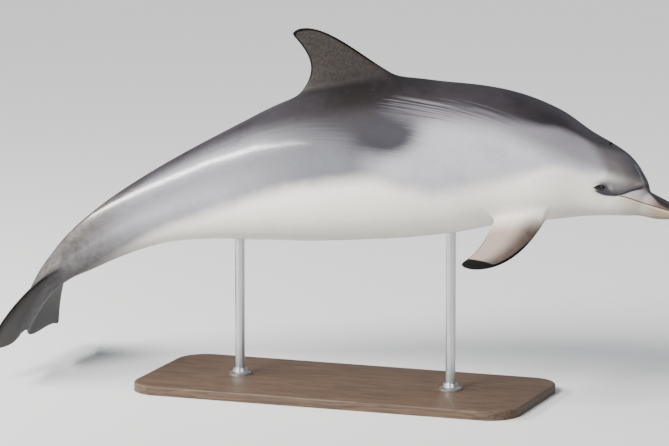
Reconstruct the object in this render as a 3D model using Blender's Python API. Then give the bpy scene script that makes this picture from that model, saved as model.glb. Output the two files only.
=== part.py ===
"""A leaping bottlenose dolphin, life size, as a still museum model on a plain display stand.

The body is a tube of rings round a curved axis that starts at the beak tip. Each fin grows out of a
rectangular patch of that tube through a fillet, so the whole animal is one surface, which is then parted
into named pieces with thin cuts. Metres, +X towards the head, +Z up, mirror plane at Y = 0.
"""

import math

import bmesh
import bpy
import numpy as np

# Driving dimensions of the animal, measured along the body axis from the beak tip.
BODY_LENGTH = 2.486
TAIL_POINT = 0.004
BEAK_TIP = (1.1335, 0.642)
CUT_GAP = 0.0003

# Slope of the axis in degrees at each distance: the head and the flukes point down, the back is arched.
AXIS_SLOPE = (
    (0.00, -9.0),
    (0.15, -17.0),
    (0.30, -18.4),
    (0.50, -10.5),
    (0.80, 4.0),
    (1.10, 8.6),
    (1.40, 16.0),
    (1.70, 20.0),
    (2.00, 30.0),
    (2.20, 39.5),
    (2.35, 57.0),
    (2.50, 74.0),
)

# Distance, height above the axis, depth below it, half width: melon, neck, trunk and tail stock.
TRUNK_SIZES = (
    (0.115, 0.020, 0.020, 0.020),
    (0.130, 0.030, 0.032, 0.042),
    (0.150, 0.062, 0.040, 0.062),
    (0.175, 0.085, 0.052, 0.078),
    (0.210, 0.111, 0.066, 0.093),
    (0.250, 0.129, 0.083, 0.104),
    (0.300, 0.139, 0.105, 0.116),
    (0.370, 0.150, 0.139, 0.133),
    (0.480, 0.187, 0.180, 0.162),
    (0.620, 0.214, 0.215, 0.192),
    (0.800, 0.233, 0.247, 0.218),
    (0.980, 0.256, 0.257, 0.228),
    (1.150, 0.251, 0.251, 0.218),
    (1.300, 0.225, 0.236, 0.194),
    (1.450, 0.190, 0.205, 0.160),
    (1.650, 0.151, 0.152, 0.112),
    (1.850, 0.115, 0.106, 0.077),
    (2.000, 0.093, 0.086, 0.056),
    (2.150, 0.071, 0.066, 0.040),
    (2.220, 0.058, 0.050, 0.036),
    (2.290, 0.047, 0.038, 0.042),
    (2.360, 0.035, 0.028, 0.052),
    (2.430, 0.022, 0.018, 0.050),
    (2.486, 0.009, 0.008, 0.022),
)

# The same four sizes for the beak, which runs on into the head and fades out there.
BEAK_SIZES = (
    (0.000, 0.0165, 0.0175, 0.022),
    (0.020, 0.0195, 0.0205, 0.026),
    (0.050, 0.0245, 0.0255, 0.033),
    (0.090, 0.0320, 0.0355, 0.040),
    (0.120, 0.0356, 0.0388, 0.048),
    (0.200, 0.0500, 0.0530, 0.065),
    (0.400, 0.0300, 0.0500, 0.060),
)
BEAK_ROUNDING = 0.020
BEAK_END = 0.40
LOWER_JAW_LEAD = 0.006
JAW_LEAD_FADE = 0.06
LIP_SHARPNESS = 20

# Exponent of the section's superellipse: full at the head, plain at the trunk, keeled at the tail.
SECTION_EXPONENT = ((0.0, 2.15), (0.4, 2.10), (1.3, 2.0), (1.7, 1.85), (2.1, 1.70), (2.3, 1.85), (2.5, 2.0))
CREASE_BLEND = ((0.0, 0.003), (0.12, 0.006), (0.17, 0.014), (0.30, 0.040), (2.5, 0.040))

# Spacing of the rings: close over the beak and its crease, wide over the trunk.
RING_STEP = (
    (0.000, 0.004),
    (0.020, 0.012),
    (0.060, 0.022),
    (0.120, 0.014),
    (0.150, 0.011),
    (0.220, 0.024),
    (0.320, 0.036),
    (0.430, 0.032),
    (0.620, 0.036),
    (0.900, 0.046),
    (2.000, 0.048),
    (2.250, 0.044),
    (2.500, 0.030),
)
COLUMNS = 32
MOUTH_COLUMN = 1

# Where the cuts between the pieces of the body lie along the axis.
BEAK_CUT = 0.128
NECK_CUT = 0.400
WAIST_CUT = 0.880
TAIL_CUT = 1.680

# Dorsal fin: leading and trailing edge as cubic curves of (distance along the axis, height above it).
DORSAL_PATCH = (0.925, 1.300)
DORSAL_SPREAD = 2
DORSAL_LEADING = ((0.926, 0.250), (1.035, 0.296), (1.155, 0.471), (1.236, 0.440))
DORSAL_TRAILING = ((1.283, 0.222), (1.178, 0.291), (1.203, 0.355), (1.245, 0.430))
DORSAL_THICKNESS = ((0.0, 0.050), (0.5, 0.030), (0.9, 0.013), (1.0, 0.006))

# Fluke: edges as cubic curves of (distance along the axis, distance out to the side).
FLUKE_PATCH = (2.190, 2.462)
FLUKE_SPREAD = 3
FLUKE_LEADING = ((2.205, 0.020), (2.270, 0.125), (2.370, 0.225), (2.520, 0.300))
FLUKE_TRAILING = ((2.486, 0.006), (2.565, 0.070), (2.492, 0.205), (2.530, 0.300))
FLUKE_THICKNESS = ((0.0, 0.030), (0.3, 0.022), (0.8, 0.012), (1.0, 0.005))

# Flipper: edges as cubic curves of (distance out along the span, distance aft along the chord). The left
# one (hand 1) is swept back and held level, the right one (hand -1) reaches out and down.
FLIPPER_PATCH = (0.430, 0.585)
FLIPPER_COLUMN = -5
FLIPPER_SPREAD = 1
FLIPPER_SPAN = {1: (-0.412, 0.865, -0.232), -1: (-0.233, 0.888, -0.397)}
FLIPPER_CHORD = (-1.0, 0.0, 0.0)
FLIPPER_ROOT_DEPTH = 0.030
FLIPPER_LEADING = ((-0.015, -0.085), (0.070, -0.100), (0.325, -0.158), (0.346, 0.004))
FLIPPER_TRAILING = ((0.045, 0.066), (0.120, 0.052), (0.235, 0.003), (0.332, 0.038))
FLIPPER_THICKNESS = ((0.0, 0.044), (0.4, 0.030), (0.8, 0.014), (1.0, 0.006))

# Every fin: its blunt trailing edge, and the share of each section's turn that its nose and its tail take.
TRAILING_EDGE = 0.0025
NOSE_TURN = 0.16
TAIL_TURN = 0.10

# Share of the span at which a fin's own sections begin, its fillet ends and its cut lies.
FILLET_SHARE = 0.16
FILLET_AIM = 0.02
FILLET_LOOPS = 3
FIN_LOOPS = 10
TIP_CROWDING = 1.15

# Eyes: place along the axis, degrees above the axis, half sizes along, across and into the head.
EYE_DISTANCE = 0.265
EYE_ANGLE = 11.5
EYE_HALF_SIZES = (0.019, 0.015, 0.014)
EYE_SINK = 0.0095
EYE_MERIDIANS = 18

# Display stand: base plate, two rods that enter the belly, and a turned collar round the foot of each.
BASE_SIZE = (1.30, 0.56, 0.030)
BASE_CORNER = 0.10
BASE_BEVEL = 0.006
ROD_RADIUS = 0.016
ROD_SIDES = 20
ROD_PLACES = (("front", 0.36), ("rear", -0.36))
ROD_INTO_BODY = 0.060
ROD_INTO_BASE = 0.015
COLLAR_STEPS = ((0.036, 0.0), (0.036, 0.006), (0.025, 0.010), (0.022, 0.022))
CORNER_POINTS = 6


def smooth_table(table, column, place):
    """Reads a table at one or many places through a cubic that keeps its rises and falls."""
    knots = np.array([row[0] for row in table], float)
    values = np.array([row[column] for row in table], float)
    widths = np.diff(knots)
    slopes = np.diff(values) / widths
    tangents = np.zeros(len(knots))
    for i in range(1, len(knots) - 1):
        if slopes[i - 1] * slopes[i] > 0:
            near = 2 * widths[i] + widths[i - 1]
            far = widths[i] + 2 * widths[i - 1]
            tangents[i] = (near + far) / (near / slopes[i - 1] + far / slopes[i])
    tangents[0] = slopes[0]
    tangents[-1] = slopes[-1]
    place = np.clip(np.asarray(place, float), knots[0], knots[-1])
    i = np.clip(np.searchsorted(knots, place, side="right") - 1, 0, len(widths) - 1)
    t = (place - knots[i]) / widths[i]
    rise = 3 * t**2 - 2 * t**3
    leave = t * (1 - t) ** 2 * widths[i] * tangents[i]
    arrive = t**2 * (t - 1) * widths[i] * tangents[i + 1]
    return (1 - rise) * values[i] + rise * values[i + 1] + leave + arrive


def make_axis():
    """Distances, X, Z and slope in radians of closely spaced points on the body axis."""
    distance = np.linspace(0.0, BODY_LENGTH + 0.10, 1041)
    slope = np.radians(smooth_table(AXIS_SLOPE, 1, distance))
    step = np.diff(distance)
    run = np.concatenate([[0.0], np.cumsum(step * (np.cos(slope[1:]) + np.cos(slope[:-1])) / 2)])
    fall = np.concatenate([[0.0], np.cumsum(step * (np.sin(slope[1:]) + np.sin(slope[:-1])) / 2)])
    return distance, BEAK_TIP[0] - run, BEAK_TIP[1] - fall, slope


AXIS = make_axis()


def from_body(distance, side, height):
    """World point of (distance along the axis, distance to the left, height above the axis)."""
    distance, side, height = np.broadcast_arrays(distance, side, height)
    x = np.interp(distance, AXIS[0], AXIS[1])
    z = np.interp(distance, AXIS[0], AXIS[2])
    slope = np.interp(distance, AXIS[0], AXIS[3])
    return np.stack([x - np.sin(slope) * height, side, z + np.cos(slope) * height], axis=-1)


def oval_radius(sizes, distance, angle, exponent):
    up = smooth_table(sizes, 1, distance)
    down = smooth_table(sizes, 2, distance)
    half_width = smooth_table(sizes, 3, distance)
    height = np.where(np.sin(angle) > 0, up, down)
    across = (np.abs(np.cos(angle)) / half_width) ** exponent
    upright = (np.abs(np.sin(angle)) / height) ** exponent
    return (across + upright) ** (-1 / exponent)


def section_radius(distance, angle):
    """Distance from the axis to the skin: the larger of trunk and beak, with a soft crease between them."""
    exponent = smooth_table(SECTION_EXPONENT, 1, distance)
    trunk = np.where(distance < TRUNK_SIZES[0][0], 0.0, oval_radius(TRUNK_SIZES, distance, angle, exponent))
    beak = np.where(distance > BEAK_END, 0.0, oval_radius(BEAK_SIZES, distance, angle, exponent))
    tip = np.clip(1 - distance / BEAK_ROUNDING, 0.0, 1.0)
    beak = beak * np.sqrt(np.maximum(1 - tip**2, 0.0))
    blend = smooth_table(CREASE_BLEND, 1, distance)
    overlap = np.maximum(blend - np.abs(trunk - beak), 0.0) / blend
    return np.maximum(trunk, beak) + overlap**2 * blend / 4


def skin_point(distance, angle):
    """World point on the skin at a distance along the axis and an angle above the left side."""
    radius = section_radius(distance, angle)
    point = from_body(distance, radius * np.cos(angle), radius * np.sin(angle))
    above_mouth = np.sin(angle) - math.sin(column_angle(MOUTH_COLUMN))
    below_mouth = 1 / (1 + np.exp(above_mouth * LIP_SHARPNESS))
    near_tip = np.clip(1 - distance / JAW_LEAD_FADE, 0.0, 1.0) ** 2
    point[..., 0] += LOWER_JAW_LEAD * below_mouth * near_tip
    return point


def column_angle(column):
    return 2 * math.pi * column / COLUMNS


def ring_distances():
    """Ring places from just behind the tip to the tail end, one RING_STEP apart."""
    fine = np.linspace(0.0, BODY_LENGTH, 5001)
    density = 1 / smooth_table(RING_STEP, 1, fine)
    count = np.concatenate([[0.0], np.cumsum((density[1:] + density[:-1]) / 2 * np.diff(fine))])
    rings = int(round(count[-1]))
    return np.interp(np.arange(1, rings + 1) * count[-1] / rings, count, fine)


def cubic(points, t):
    a, b, c, d = np.array(points, float)
    return (1 - t) ** 3 * a + 3 * t * (1 - t) ** 2 * b + 3 * t**2 * (1 - t) * c + t**3 * d


class Surface:
    """Points of the whole animal, and the faces of each piece as lists of point numbers."""

    def __init__(self):
        self.points = []

    def add(self, point):
        self.points.append(np.asarray(point, float))
        return len(self.points) - 1


class Fin:
    """A fin's loops of point numbers, from the patch of skin that it grows out of to its tip."""

    def __init__(self, loops, rows, spread, span):
        self.loops = loops
        self.rows = rows
        self.spread = spread
        self.span = np.asarray(span, float) / np.linalg.norm(span)


def nearest_ring(rings, distance):
    return int(np.argmin(np.abs(rings - distance)))


def patch_boundary(grid, first, last, middle, spread):
    """Point numbers round a patch, from its front centre along one side, round the back and home."""
    columns = [(middle + k) % COLUMNS for k in range(-spread, spread + 1)]
    front = [grid[first][c] for c in columns]
    back = [grid[last][c] for c in columns]
    side_a = [grid[i][columns[-1]] for i in range(first + 1, last)]
    side_b = [grid[i][columns[0]] for i in range(first + 1, last)]
    return front[spread:] + side_a + back[::-1] + side_b[::-1] + front[:spread]


def chord_shares(rows, spread):
    """Share of the chord and side (+1 or -1) for each point of a loop that starts at the leading edge."""
    steps = rows + 2 * spread
    nose = NOSE_TURN * math.pi
    tail = TAIL_TURN * math.pi
    turn = np.concatenate(
        [
            np.linspace(0.0, nose, spread + 1)[:-1],
            np.linspace(nose, math.pi - tail, rows + 1)[:-1],
            np.linspace(math.pi - tail, math.pi, spread + 1),
        ]
    )
    share = (1 - np.cos(turn)) / 2
    side = np.ones(steps + 1)
    return np.concatenate([share, share[-2:0:-1]]), np.concatenate([side, -side[-2:0:-1]])


def fin_section(share, side, thickness):
    """Half thickness of a streamlined section, rounded at the nose and blunt at the trailing edge."""
    body = 2.969 * np.sqrt(share) - 1.26 * share - 3.516 * share**2 + 2.843 * share**3 - 1.036 * share**4
    edge = TRAILING_EDGE / 2 * np.sqrt(np.clip(1 - (2 * share - 1) ** 2, 0.0, 1.0))
    return side * (thickness / 2 * body + edge)


def grow_fin(surface, boundary, rows, spread, normals, section_at, span):
    """Adds a fin's points: fillet loops from the boundary, then its sections out to the tip."""
    share, side = chord_shares(rows, spread)
    loops = [list(boundary)]
    start = np.array([surface.points[n] for n in boundary])
    root = section_at(FILLET_SHARE, share, side)
    beyond = section_at(FILLET_SHARE + FILLET_AIM, share, side)
    leave = root - start
    reach = np.linalg.norm(leave, axis=1, keepdims=True)
    leave = leave - (leave * normals).sum(axis=1, keepdims=True) * normals
    rise = beyond - root
    rise = rise / np.linalg.norm(rise, axis=1, keepdims=True) * reach
    for k in range(1, FILLET_LOOPS + 1):
        t = k / (FILLET_LOOPS + 1)
        blend = 3 * t**2 - 2 * t**3
        points = (1 - blend) * start + blend * root
        points = points + t * (1 - t) ** 2 * leave + t**2 * (t - 1) * rise
        loops.append([surface.add(p) for p in points])
    for k in range(FIN_LOOPS + 1):
        out = math.sin(math.pi / 2 * k / FIN_LOOPS) ** TIP_CROWDING
        t = FILLET_SHARE + (1 - FILLET_SHARE) * out
        loops.append([surface.add(p) for p in section_at(t, share, side)])
    return Fin(loops, rows, spread, span)


def dorsal_section(t, share, side):
    leading = cubic(DORSAL_LEADING, t)
    trailing = cubic(DORSAL_TRAILING, t)
    middle = leading + share[:, None] * (trailing - leading)
    half = fin_section(share, side, smooth_table(DORSAL_THICKNESS, 1, t))
    return from_body(middle[:, 0], -half, middle[:, 1])


def fluke_section(hand):
    def section(t, share, side):
        leading = cubic(FLUKE_LEADING, t)
        trailing = cubic(FLUKE_TRAILING, t)
        middle = leading + share[:, None] * (trailing - leading)
        half = fin_section(share, side, smooth_table(FLUKE_THICKNESS, 1, t))
        return from_body(middle[:, 0], hand * middle[:, 1], hand * half)

    return section


def flipper_frame(hand):
    """Root point and the span, chord and thickness directions of one flipper."""
    angle = column_angle(FLIPPER_COLUMN)
    root = skin_point(np.array(sum(FLIPPER_PATCH) / 2), np.array(angle))
    span = np.array(FLIPPER_SPAN[hand]) / np.linalg.norm(FLIPPER_SPAN[hand])
    chord = np.array(FLIPPER_CHORD)
    chord = chord - (chord @ span) * span
    chord = chord / np.linalg.norm(chord)
    thick = np.cross(span, chord)
    root = root - FLIPPER_ROOT_DEPTH * span
    mirror = np.array([1.0, hand, 1.0])
    return root * mirror, span * mirror, chord * mirror, thick * mirror * hand


def flipper_section(hand):
    root, span, chord, thick = flipper_frame(hand)

    def section(t, share, side):
        leading = cubic(FLIPPER_LEADING, t)
        trailing = cubic(FLIPPER_TRAILING, t)
        middle = leading + share[:, None] * (trailing - leading)
        half = fin_section(share, side, smooth_table(FLIPPER_THICKNESS, 1, t))
        return root + middle[:, :1] * span + middle[:, 1:] * chord + half[:, None] * thick

    return section


def skin_normals(distances, angles):
    """Outward unit normals of the plain tube, from small steps along and round it."""
    small = 1e-4
    along = skin_point(distances + small, angles) - skin_point(distances - small, angles)
    around = skin_point(distances, angles + small) - skin_point(distances, angles - small)
    normal = np.cross(along, around)
    return normal / np.linalg.norm(normal, axis=1, keepdims=True)


def build_surface():
    """The tube's grid of points and its five fins."""
    surface = Surface()
    rings = ring_distances()
    angles = np.array([column_angle(c) for c in range(COLUMNS)])
    nose = surface.add(skin_point(np.array(0.0), np.array(math.pi / 2)))
    grid = []
    place = {}
    for distance in rings:
        row = [surface.add(p) for p in skin_point(np.full(COLUMNS, distance), angles)]
        for number, angle in zip(row, angles):
            place[number] = (distance, angle)
        grid.append(row)
    tail = surface.add(from_body(BODY_LENGTH + TAIL_POINT, 0.0, 0.0))
    fins = {}
    patches = {}

    def add_fin(name, patch, middle, spread, section_at, span):
        first = nearest_ring(rings, patch[0])
        last = nearest_ring(rings, patch[1])
        boundary = patch_boundary(grid, first, last, middle, spread)
        where = np.array([place[n] for n in boundary])
        normals = skin_normals(where[:, 0], where[:, 1])
        fins[name] = grow_fin(surface, boundary, last - first, spread, normals, section_at, span)
        patches[name] = (first, last, middle, spread)

    quarter = COLUMNS // 4
    add_fin("dorsal_fin", DORSAL_PATCH, quarter, DORSAL_SPREAD, dorsal_section, (0, 0, 1))
    for name, hand in (("left", 1), ("right", -1)):
        middle = FLIPPER_COLUMN if hand > 0 else 2 * quarter - FLIPPER_COLUMN
        span = flipper_frame(hand)[1]
        add_fin(f"flipper_{name}", FLIPPER_PATCH, middle, FLIPPER_SPREAD, flipper_section(hand), span)
        middle = 0 if hand > 0 else 2 * quarter
        add_fin(f"fluke_{name}", FLUKE_PATCH, middle, FLUKE_SPREAD, fluke_section(hand), (0, hand, 0))
    return surface, rings, grid, nose, tail, fins, patches


def in_patch(patches, row, column):
    for first, last, middle, spread in patches.values():
        inside = (column - middle + spread) % COLUMNS < 2 * spread
        if first <= row < last and inside:
            return True
    return False


def tube_faces(grid, patches, first, last, columns):
    faces = []
    for i in range(first, last):
        for c in columns:
            if in_patch(patches, i, c % COLUMNS):
                continue
            a = grid[i][c % COLUMNS]
            b = grid[i][(c + 1) % COLUMNS]
            faces.append((a, grid[i + 1][c % COLUMNS], grid[i + 1][(c + 1) % COLUMNS], b))
    return faces


def loop_faces(near, far):
    count = len(near)
    return [(near[i], near[(i + 1) % count], far[(i + 1) % count], far[i]) for i in range(count)]


def loop_cap(loop, outward):
    """Closes a fin's loop across its thickness, pairing the points of its two sides."""
    count = len(loop)
    half = count // 2
    faces = [(loop[0], loop[1], loop[count - 1])]
    for i in range(1, half - 1):
        faces.append((loop[i], loop[i + 1], loop[count - i - 1], loop[count - i]))
    faces.append((loop[half - 1], loop[half], loop[half + 1]))
    return faces if outward else [face[::-1] for face in faces]


def make_material(name, colour, roughness, metallic=0.0):
    material = bpy.data.materials.new(name)
    material.use_nodes = True
    shader = material.node_tree.nodes["Principled BSDF"]
    shader.inputs["Base Color"].default_value = (*colour, 1.0)
    shader.inputs["Roughness"].default_value = roughness
    shader.inputs["Metallic"].default_value = metallic
    return material


def make_object(name, points, faces, material):
    """One closed object with its faces turned outwards."""
    used = sorted({n for face in faces for n in face})
    number = {n: i for i, n in enumerate(used)}
    mesh = bpy.data.meshes.new(name)
    mesh.from_pydata([tuple(points[n]) for n in used], [], [[number[n] for n in face] for face in faces])
    shape = bmesh.new()
    shape.from_mesh(mesh)
    bmesh.ops.recalc_face_normals(shape, faces=shape.faces)
    bmesh.ops.triangulate(shape, faces=shape.faces)
    shape.to_mesh(mesh)
    shape.free()
    mesh.shade_smooth()
    mesh.set_sharp_from_angle(angle=math.radians(45))
    obj = bpy.data.objects.new(name, mesh)
    obj.data.materials.append(material)
    bpy.context.scene.collection.objects.link(obj)
    return obj


def shifted(points, numbers, offset):
    """A copy of the points with the numbered ones moved by half a cut's gap."""
    moved = dict(points) if isinstance(points, dict) else dict(enumerate(points))
    for n in numbers:
        moved[n] = moved[n] + offset
    return moved


def forward_at(distance):
    slope = np.interp(distance, AXIS[0], AXIS[3])
    return np.array([math.cos(slope), 0.0, math.sin(slope)])


def ring_cap(surface, ring):
    centre = surface.add(np.mean([surface.points[n] for n in ring], axis=0))
    return centre, [(ring[i], ring[(i + 1) % len(ring)], centre) for i in range(len(ring))]


def make_lengths(surface, rings, grid, tail, fins, patches, material):
    """Head, thorax, abdomen and tail stock, each with the roots of the fins that grow from it."""
    cuts = [nearest_ring(rings, d) for d in (BEAK_CUT, NECK_CUT, WAIST_CUT, TAIL_CUT)] + [len(rings) - 1]
    names = ("head", "thorax", "abdomen", "tail_stock")
    objects = {}
    for name, first, last in zip(names, cuts[:-1], cuts[1:]):
        faces = tube_faces(grid, patches, first, last, range(COLUMNS))
        front, cap = ring_cap(surface, grid[first])
        faces += cap
        half_gap = forward_at(rings[first]) * CUT_GAP / 2
        points = shifted(surface.points, [*grid[first], front], -half_gap)
        if last == len(rings) - 1:
            ring = grid[last]
            faces += [(ring[i], tail, ring[(i + 1) % COLUMNS]) for i in range(COLUMNS)]
        else:
            back, cap = ring_cap(surface, grid[last])
            faces += cap
            half_gap = forward_at(rings[last]) * CUT_GAP / 2
            points[back] = surface.points[back]
            points = shifted(points, [*grid[last], back], half_gap)
        for fin_name, fin in fins.items():
            if first <= patches[fin_name][0] < last:
                cut = fin.loops[FILLET_LOOPS + 1]
                for near, far in zip(fin.loops[:FILLET_LOOPS + 1], fin.loops[1:FILLET_LOOPS + 2]):
                    faces += loop_faces(near, far)
                faces += loop_cap(cut, True)
                points = shifted(points, cut, -fin.span * CUT_GAP / 2)
        objects[name] = make_object(name, points, faces, material)
    return objects


def make_fins(surface, fins, material):
    for name, fin in fins.items():
        root = fin.loops[FILLET_LOOPS + 1]
        faces = loop_cap(root, False)
        outer = fin.loops[FILLET_LOOPS + 1:]
        for near, far in zip(outer[:-1], outer[1:]):
            faces += loop_faces(near, far)
        faces += loop_cap(outer[-1], True)
        make_object(name, shifted(surface.points, root, fin.span * CUT_GAP / 2), faces, material)


def make_jaws(surface, rings, grid, nose, upper_material, lower_material):
    """Upper and lower beak, parted along the mouth line, which follows one column on each side."""
    last = nearest_ring(rings, BEAK_CUT)
    left = MOUTH_COLUMN
    right = COLUMNS // 2 - MOUTH_COLUMN
    halves = (
        ("beak_upper", range(left, right), 1, upper_material),
        ("lower_jaw", range(right, left + COLUMNS), -1, lower_material),
    )
    for name, columns, side, material in halves:
        faces = tube_faces(grid, {}, 0, last, columns)
        faces += [(nose, grid[0][c % COLUMNS], grid[0][(c + 1) % COLUMNS]) for c in columns]
        faces.append((nose, grid[0][left], grid[0][right]))
        for i in range(last):
            faces.append((grid[i][left], grid[i + 1][left], grid[i + 1][right], grid[i][right]))
        arc = [grid[last][c % COLUMNS] for c in [*columns, columns[-1] + 1]]
        faces.append(tuple(arc))
        lips = [nose] + [grid[i][c] for i in range(last + 1) for c in (left, right)]
        points = shifted(surface.points, lips, np.array([0.0, 0.0, side * CUT_GAP / 2]))
        points = shifted(points, arc, forward_at(rings[last]) * CUT_GAP / 2)
        make_object(name, points, faces, material)


def make_ball(name, centre, axes, half_sizes, grow, material):
    """An ellipsoid with its own axes as the columns of a matrix."""
    shape = bmesh.new()
    bmesh.ops.create_uvsphere(shape, u_segments=EYE_MERIDIANS, v_segments=EYE_MERIDIANS // 2, radius=1.0)
    mesh = bpy.data.meshes.new(name)
    for vertex in shape.verts:
        local = np.array(vertex.co) * (np.array(half_sizes) + grow)
        vertex.co = centre + axes @ local
    bmesh.ops.recalc_face_normals(shape, faces=shape.faces)
    shape.to_mesh(mesh)
    shape.free()
    mesh.shade_smooth()
    obj = bpy.data.objects.new(name, mesh)
    if material:
        obj.data.materials.append(material)
    bpy.context.scene.collection.objects.link(obj)
    return obj


def hide_cutter(obj):
    obj.hide_render = True
    obj.display_type = "WIRE"


def cut_away(target, cutter):
    hide_cutter(cutter)
    modifier = target.modifiers.new(cutter.name, "BOOLEAN")
    modifier.operation = "DIFFERENCE"
    modifier.solver = "EXACT"
    modifier.object = cutter


def make_eyes(head, material):
    for name, hand in (("left", 1), ("right", -1)):
        angle = math.radians(EYE_ANGLE)
        angle = angle if hand > 0 else math.pi - angle
        place = np.array([EYE_DISTANCE])
        surface_point = skin_point(place, np.array([angle]))[0]
        out = skin_normals(place, np.array([angle]))[0]
        along = forward_at(EYE_DISTANCE)
        along = along - (along @ out) * out
        along = along / np.linalg.norm(along)
        axes = np.stack([along, np.cross(out, along), out], axis=1)
        centre = surface_point - out * EYE_SINK
        make_ball(f"eye_{name}", centre, axes, EYE_HALF_SIZES, 0.0, material)
        cut_away(head, make_ball(f"socket_{name}", centre, axes, EYE_HALF_SIZES, CUT_GAP, None))


def make_cylinder(name, radius, bottom, top, x, material):
    shape = bmesh.new()
    bmesh.ops.create_cone(
        shape, cap_ends=True, segments=ROD_SIDES, radius1=radius, radius2=radius, depth=top - bottom
    )
    mesh = bpy.data.meshes.new(name)
    shape.to_mesh(mesh)
    shape.free()
    mesh.shade_smooth()
    mesh.set_sharp_from_angle(angle=math.radians(40))
    obj = bpy.data.objects.new(name, mesh)
    obj.location = (x, 0.0, (top + bottom) / 2)
    if material:
        obj.data.materials.append(material)
    bpy.context.scene.collection.objects.link(obj)
    return obj


def belly_height(x):
    """Height of the skin's lowest line above the floor at one X."""
    distances = np.linspace(NECK_CUT, TAIL_CUT, 400)
    line = skin_point(distances, np.full(400, -math.pi / 2))
    return float(np.interp(-x, -line[:, 0], line[:, 2]))


def make_base(material):
    length, width, height = BASE_SIZE
    shape = bmesh.new()
    corners = []
    for cx, cy, start in ((1, 1, 0), (-1, 1, 90), (-1, -1, 180), (1, -1, 270)):
        for k in range(CORNER_POINTS):
            turn = math.radians(start + 90 * k / (CORNER_POINTS - 1))
            x = cx * (length / 2 - BASE_CORNER) + BASE_CORNER * math.cos(turn)
            y = cy * (width / 2 - BASE_CORNER) + BASE_CORNER * math.sin(turn)
            corners.append(shape.verts.new((x, y, 0.0)))
    bottom = shape.faces.new(corners)
    grown = bmesh.ops.extrude_face_region(shape, geom=[bottom])
    lifted = [item for item in grown["geom"] if isinstance(item, bmesh.types.BMVert)]
    bmesh.ops.translate(shape, verts=lifted, vec=(0, 0, height))
    bmesh.ops.recalc_face_normals(shape, faces=shape.faces)
    rim = [edge for edge in shape.edges if all(abs(v.co.z - height) < 1e-6 for v in edge.verts)]
    bmesh.ops.bevel(shape, geom=rim, offset=BASE_BEVEL, segments=2, affect="EDGES", profile=0.5)
    mesh = bpy.data.meshes.new("stand_base")
    shape.to_mesh(mesh)
    shape.free()
    obj = bpy.data.objects.new("stand_base", mesh)
    obj.data.materials.append(material)
    bpy.context.scene.collection.objects.link(obj)
    return obj


def make_collar(name, x, material):
    """A turned ring on the base plate, with the rod through its middle."""
    bore = ROD_RADIUS + CUT_GAP
    floor = BASE_SIZE[2] + CUT_GAP
    steps = [(radius, floor + height) for radius, height in COLLAR_STEPS]
    profile = [(bore, floor), *steps, (bore, steps[-1][1])]
    shape = bmesh.new()
    rings = []
    for k in range(ROD_SIDES):
        turn = 2 * math.pi * k / ROD_SIDES
        rings.append([shape.verts.new((r * math.sin(turn), r * math.cos(turn), z)) for r, z in profile])
    for k in range(ROD_SIDES):
        here = rings[k]
        after = rings[(k + 1) % ROD_SIDES]
        for i in range(len(profile)):
            j = (i + 1) % len(profile)
            shape.faces.new((here[i], here[j], after[j], after[i]))
    bmesh.ops.recalc_face_normals(shape, faces=shape.faces)
    mesh = bpy.data.meshes.new(name)
    shape.to_mesh(mesh)
    shape.free()
    mesh.shade_smooth()
    mesh.set_sharp_from_angle(angle=math.radians(35))
    obj = bpy.data.objects.new(name, mesh)
    obj.location = (x, 0.0, 0.0)
    obj.data.materials.append(material)
    bpy.context.scene.collection.objects.link(obj)


def make_stand(lengths, plate_material, rod_material):
    base = make_base(plate_material)
    for (name, x), length in zip(ROD_PLACES, ("thorax", "abdomen")):
        foot = BASE_SIZE[2] - ROD_INTO_BASE
        top = belly_height(x) + ROD_INTO_BODY
        make_cylinder(f"stand_rod_{name}", ROD_RADIUS, foot, top, x, rod_material)
        make_collar(f"stand_collar_{name}", x, rod_material)
        bore = ROD_RADIUS + CUT_GAP
        hole = make_cylinder(f"body_hole_{name}", bore, top - 3 * ROD_INTO_BODY, top + CUT_GAP, x, None)
        cut_away(lengths[length], hole)
        hole = make_cylinder(f"base_hole_{name}", bore, foot - CUT_GAP, 2 * BASE_SIZE[2], x, None)
        cut_away(base, hole)


def main():
    for obj in list(bpy.data.objects):
        bpy.data.objects.remove(obj, do_unlink=True)
    skin = make_material("dolphin_skin", (0.27, 0.25, 0.25), 0.32)
    beak_skin = make_material("beak_skin", (0.45, 0.40, 0.38), 0.32)
    jaw_skin = make_material("jaw_skin", (0.66, 0.60, 0.50), 0.32)
    fin_skin = make_material("fin_skin", (0.20, 0.18, 0.17), 0.35)
    eye = make_material("eye", (0.02, 0.015, 0.012), 0.05)
    plate = make_material("base_plate", (0.10, 0.10, 0.11), 0.45)
    rod = make_material("steel_rod", (0.62, 0.62, 0.64), 0.28, 1.0)
    surface, rings, grid, nose, tail, fins, patches = build_surface()
    lengths = make_lengths(surface, rings, grid, tail, fins, patches, skin)
    make_fins(surface, fins, fin_skin)
    make_jaws(surface, rings, grid, nose, beak_skin, jaw_skin)
    make_eyes(lengths["head"], eye)
    make_stand(lengths, plate, rod)


main()
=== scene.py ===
import math

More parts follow.
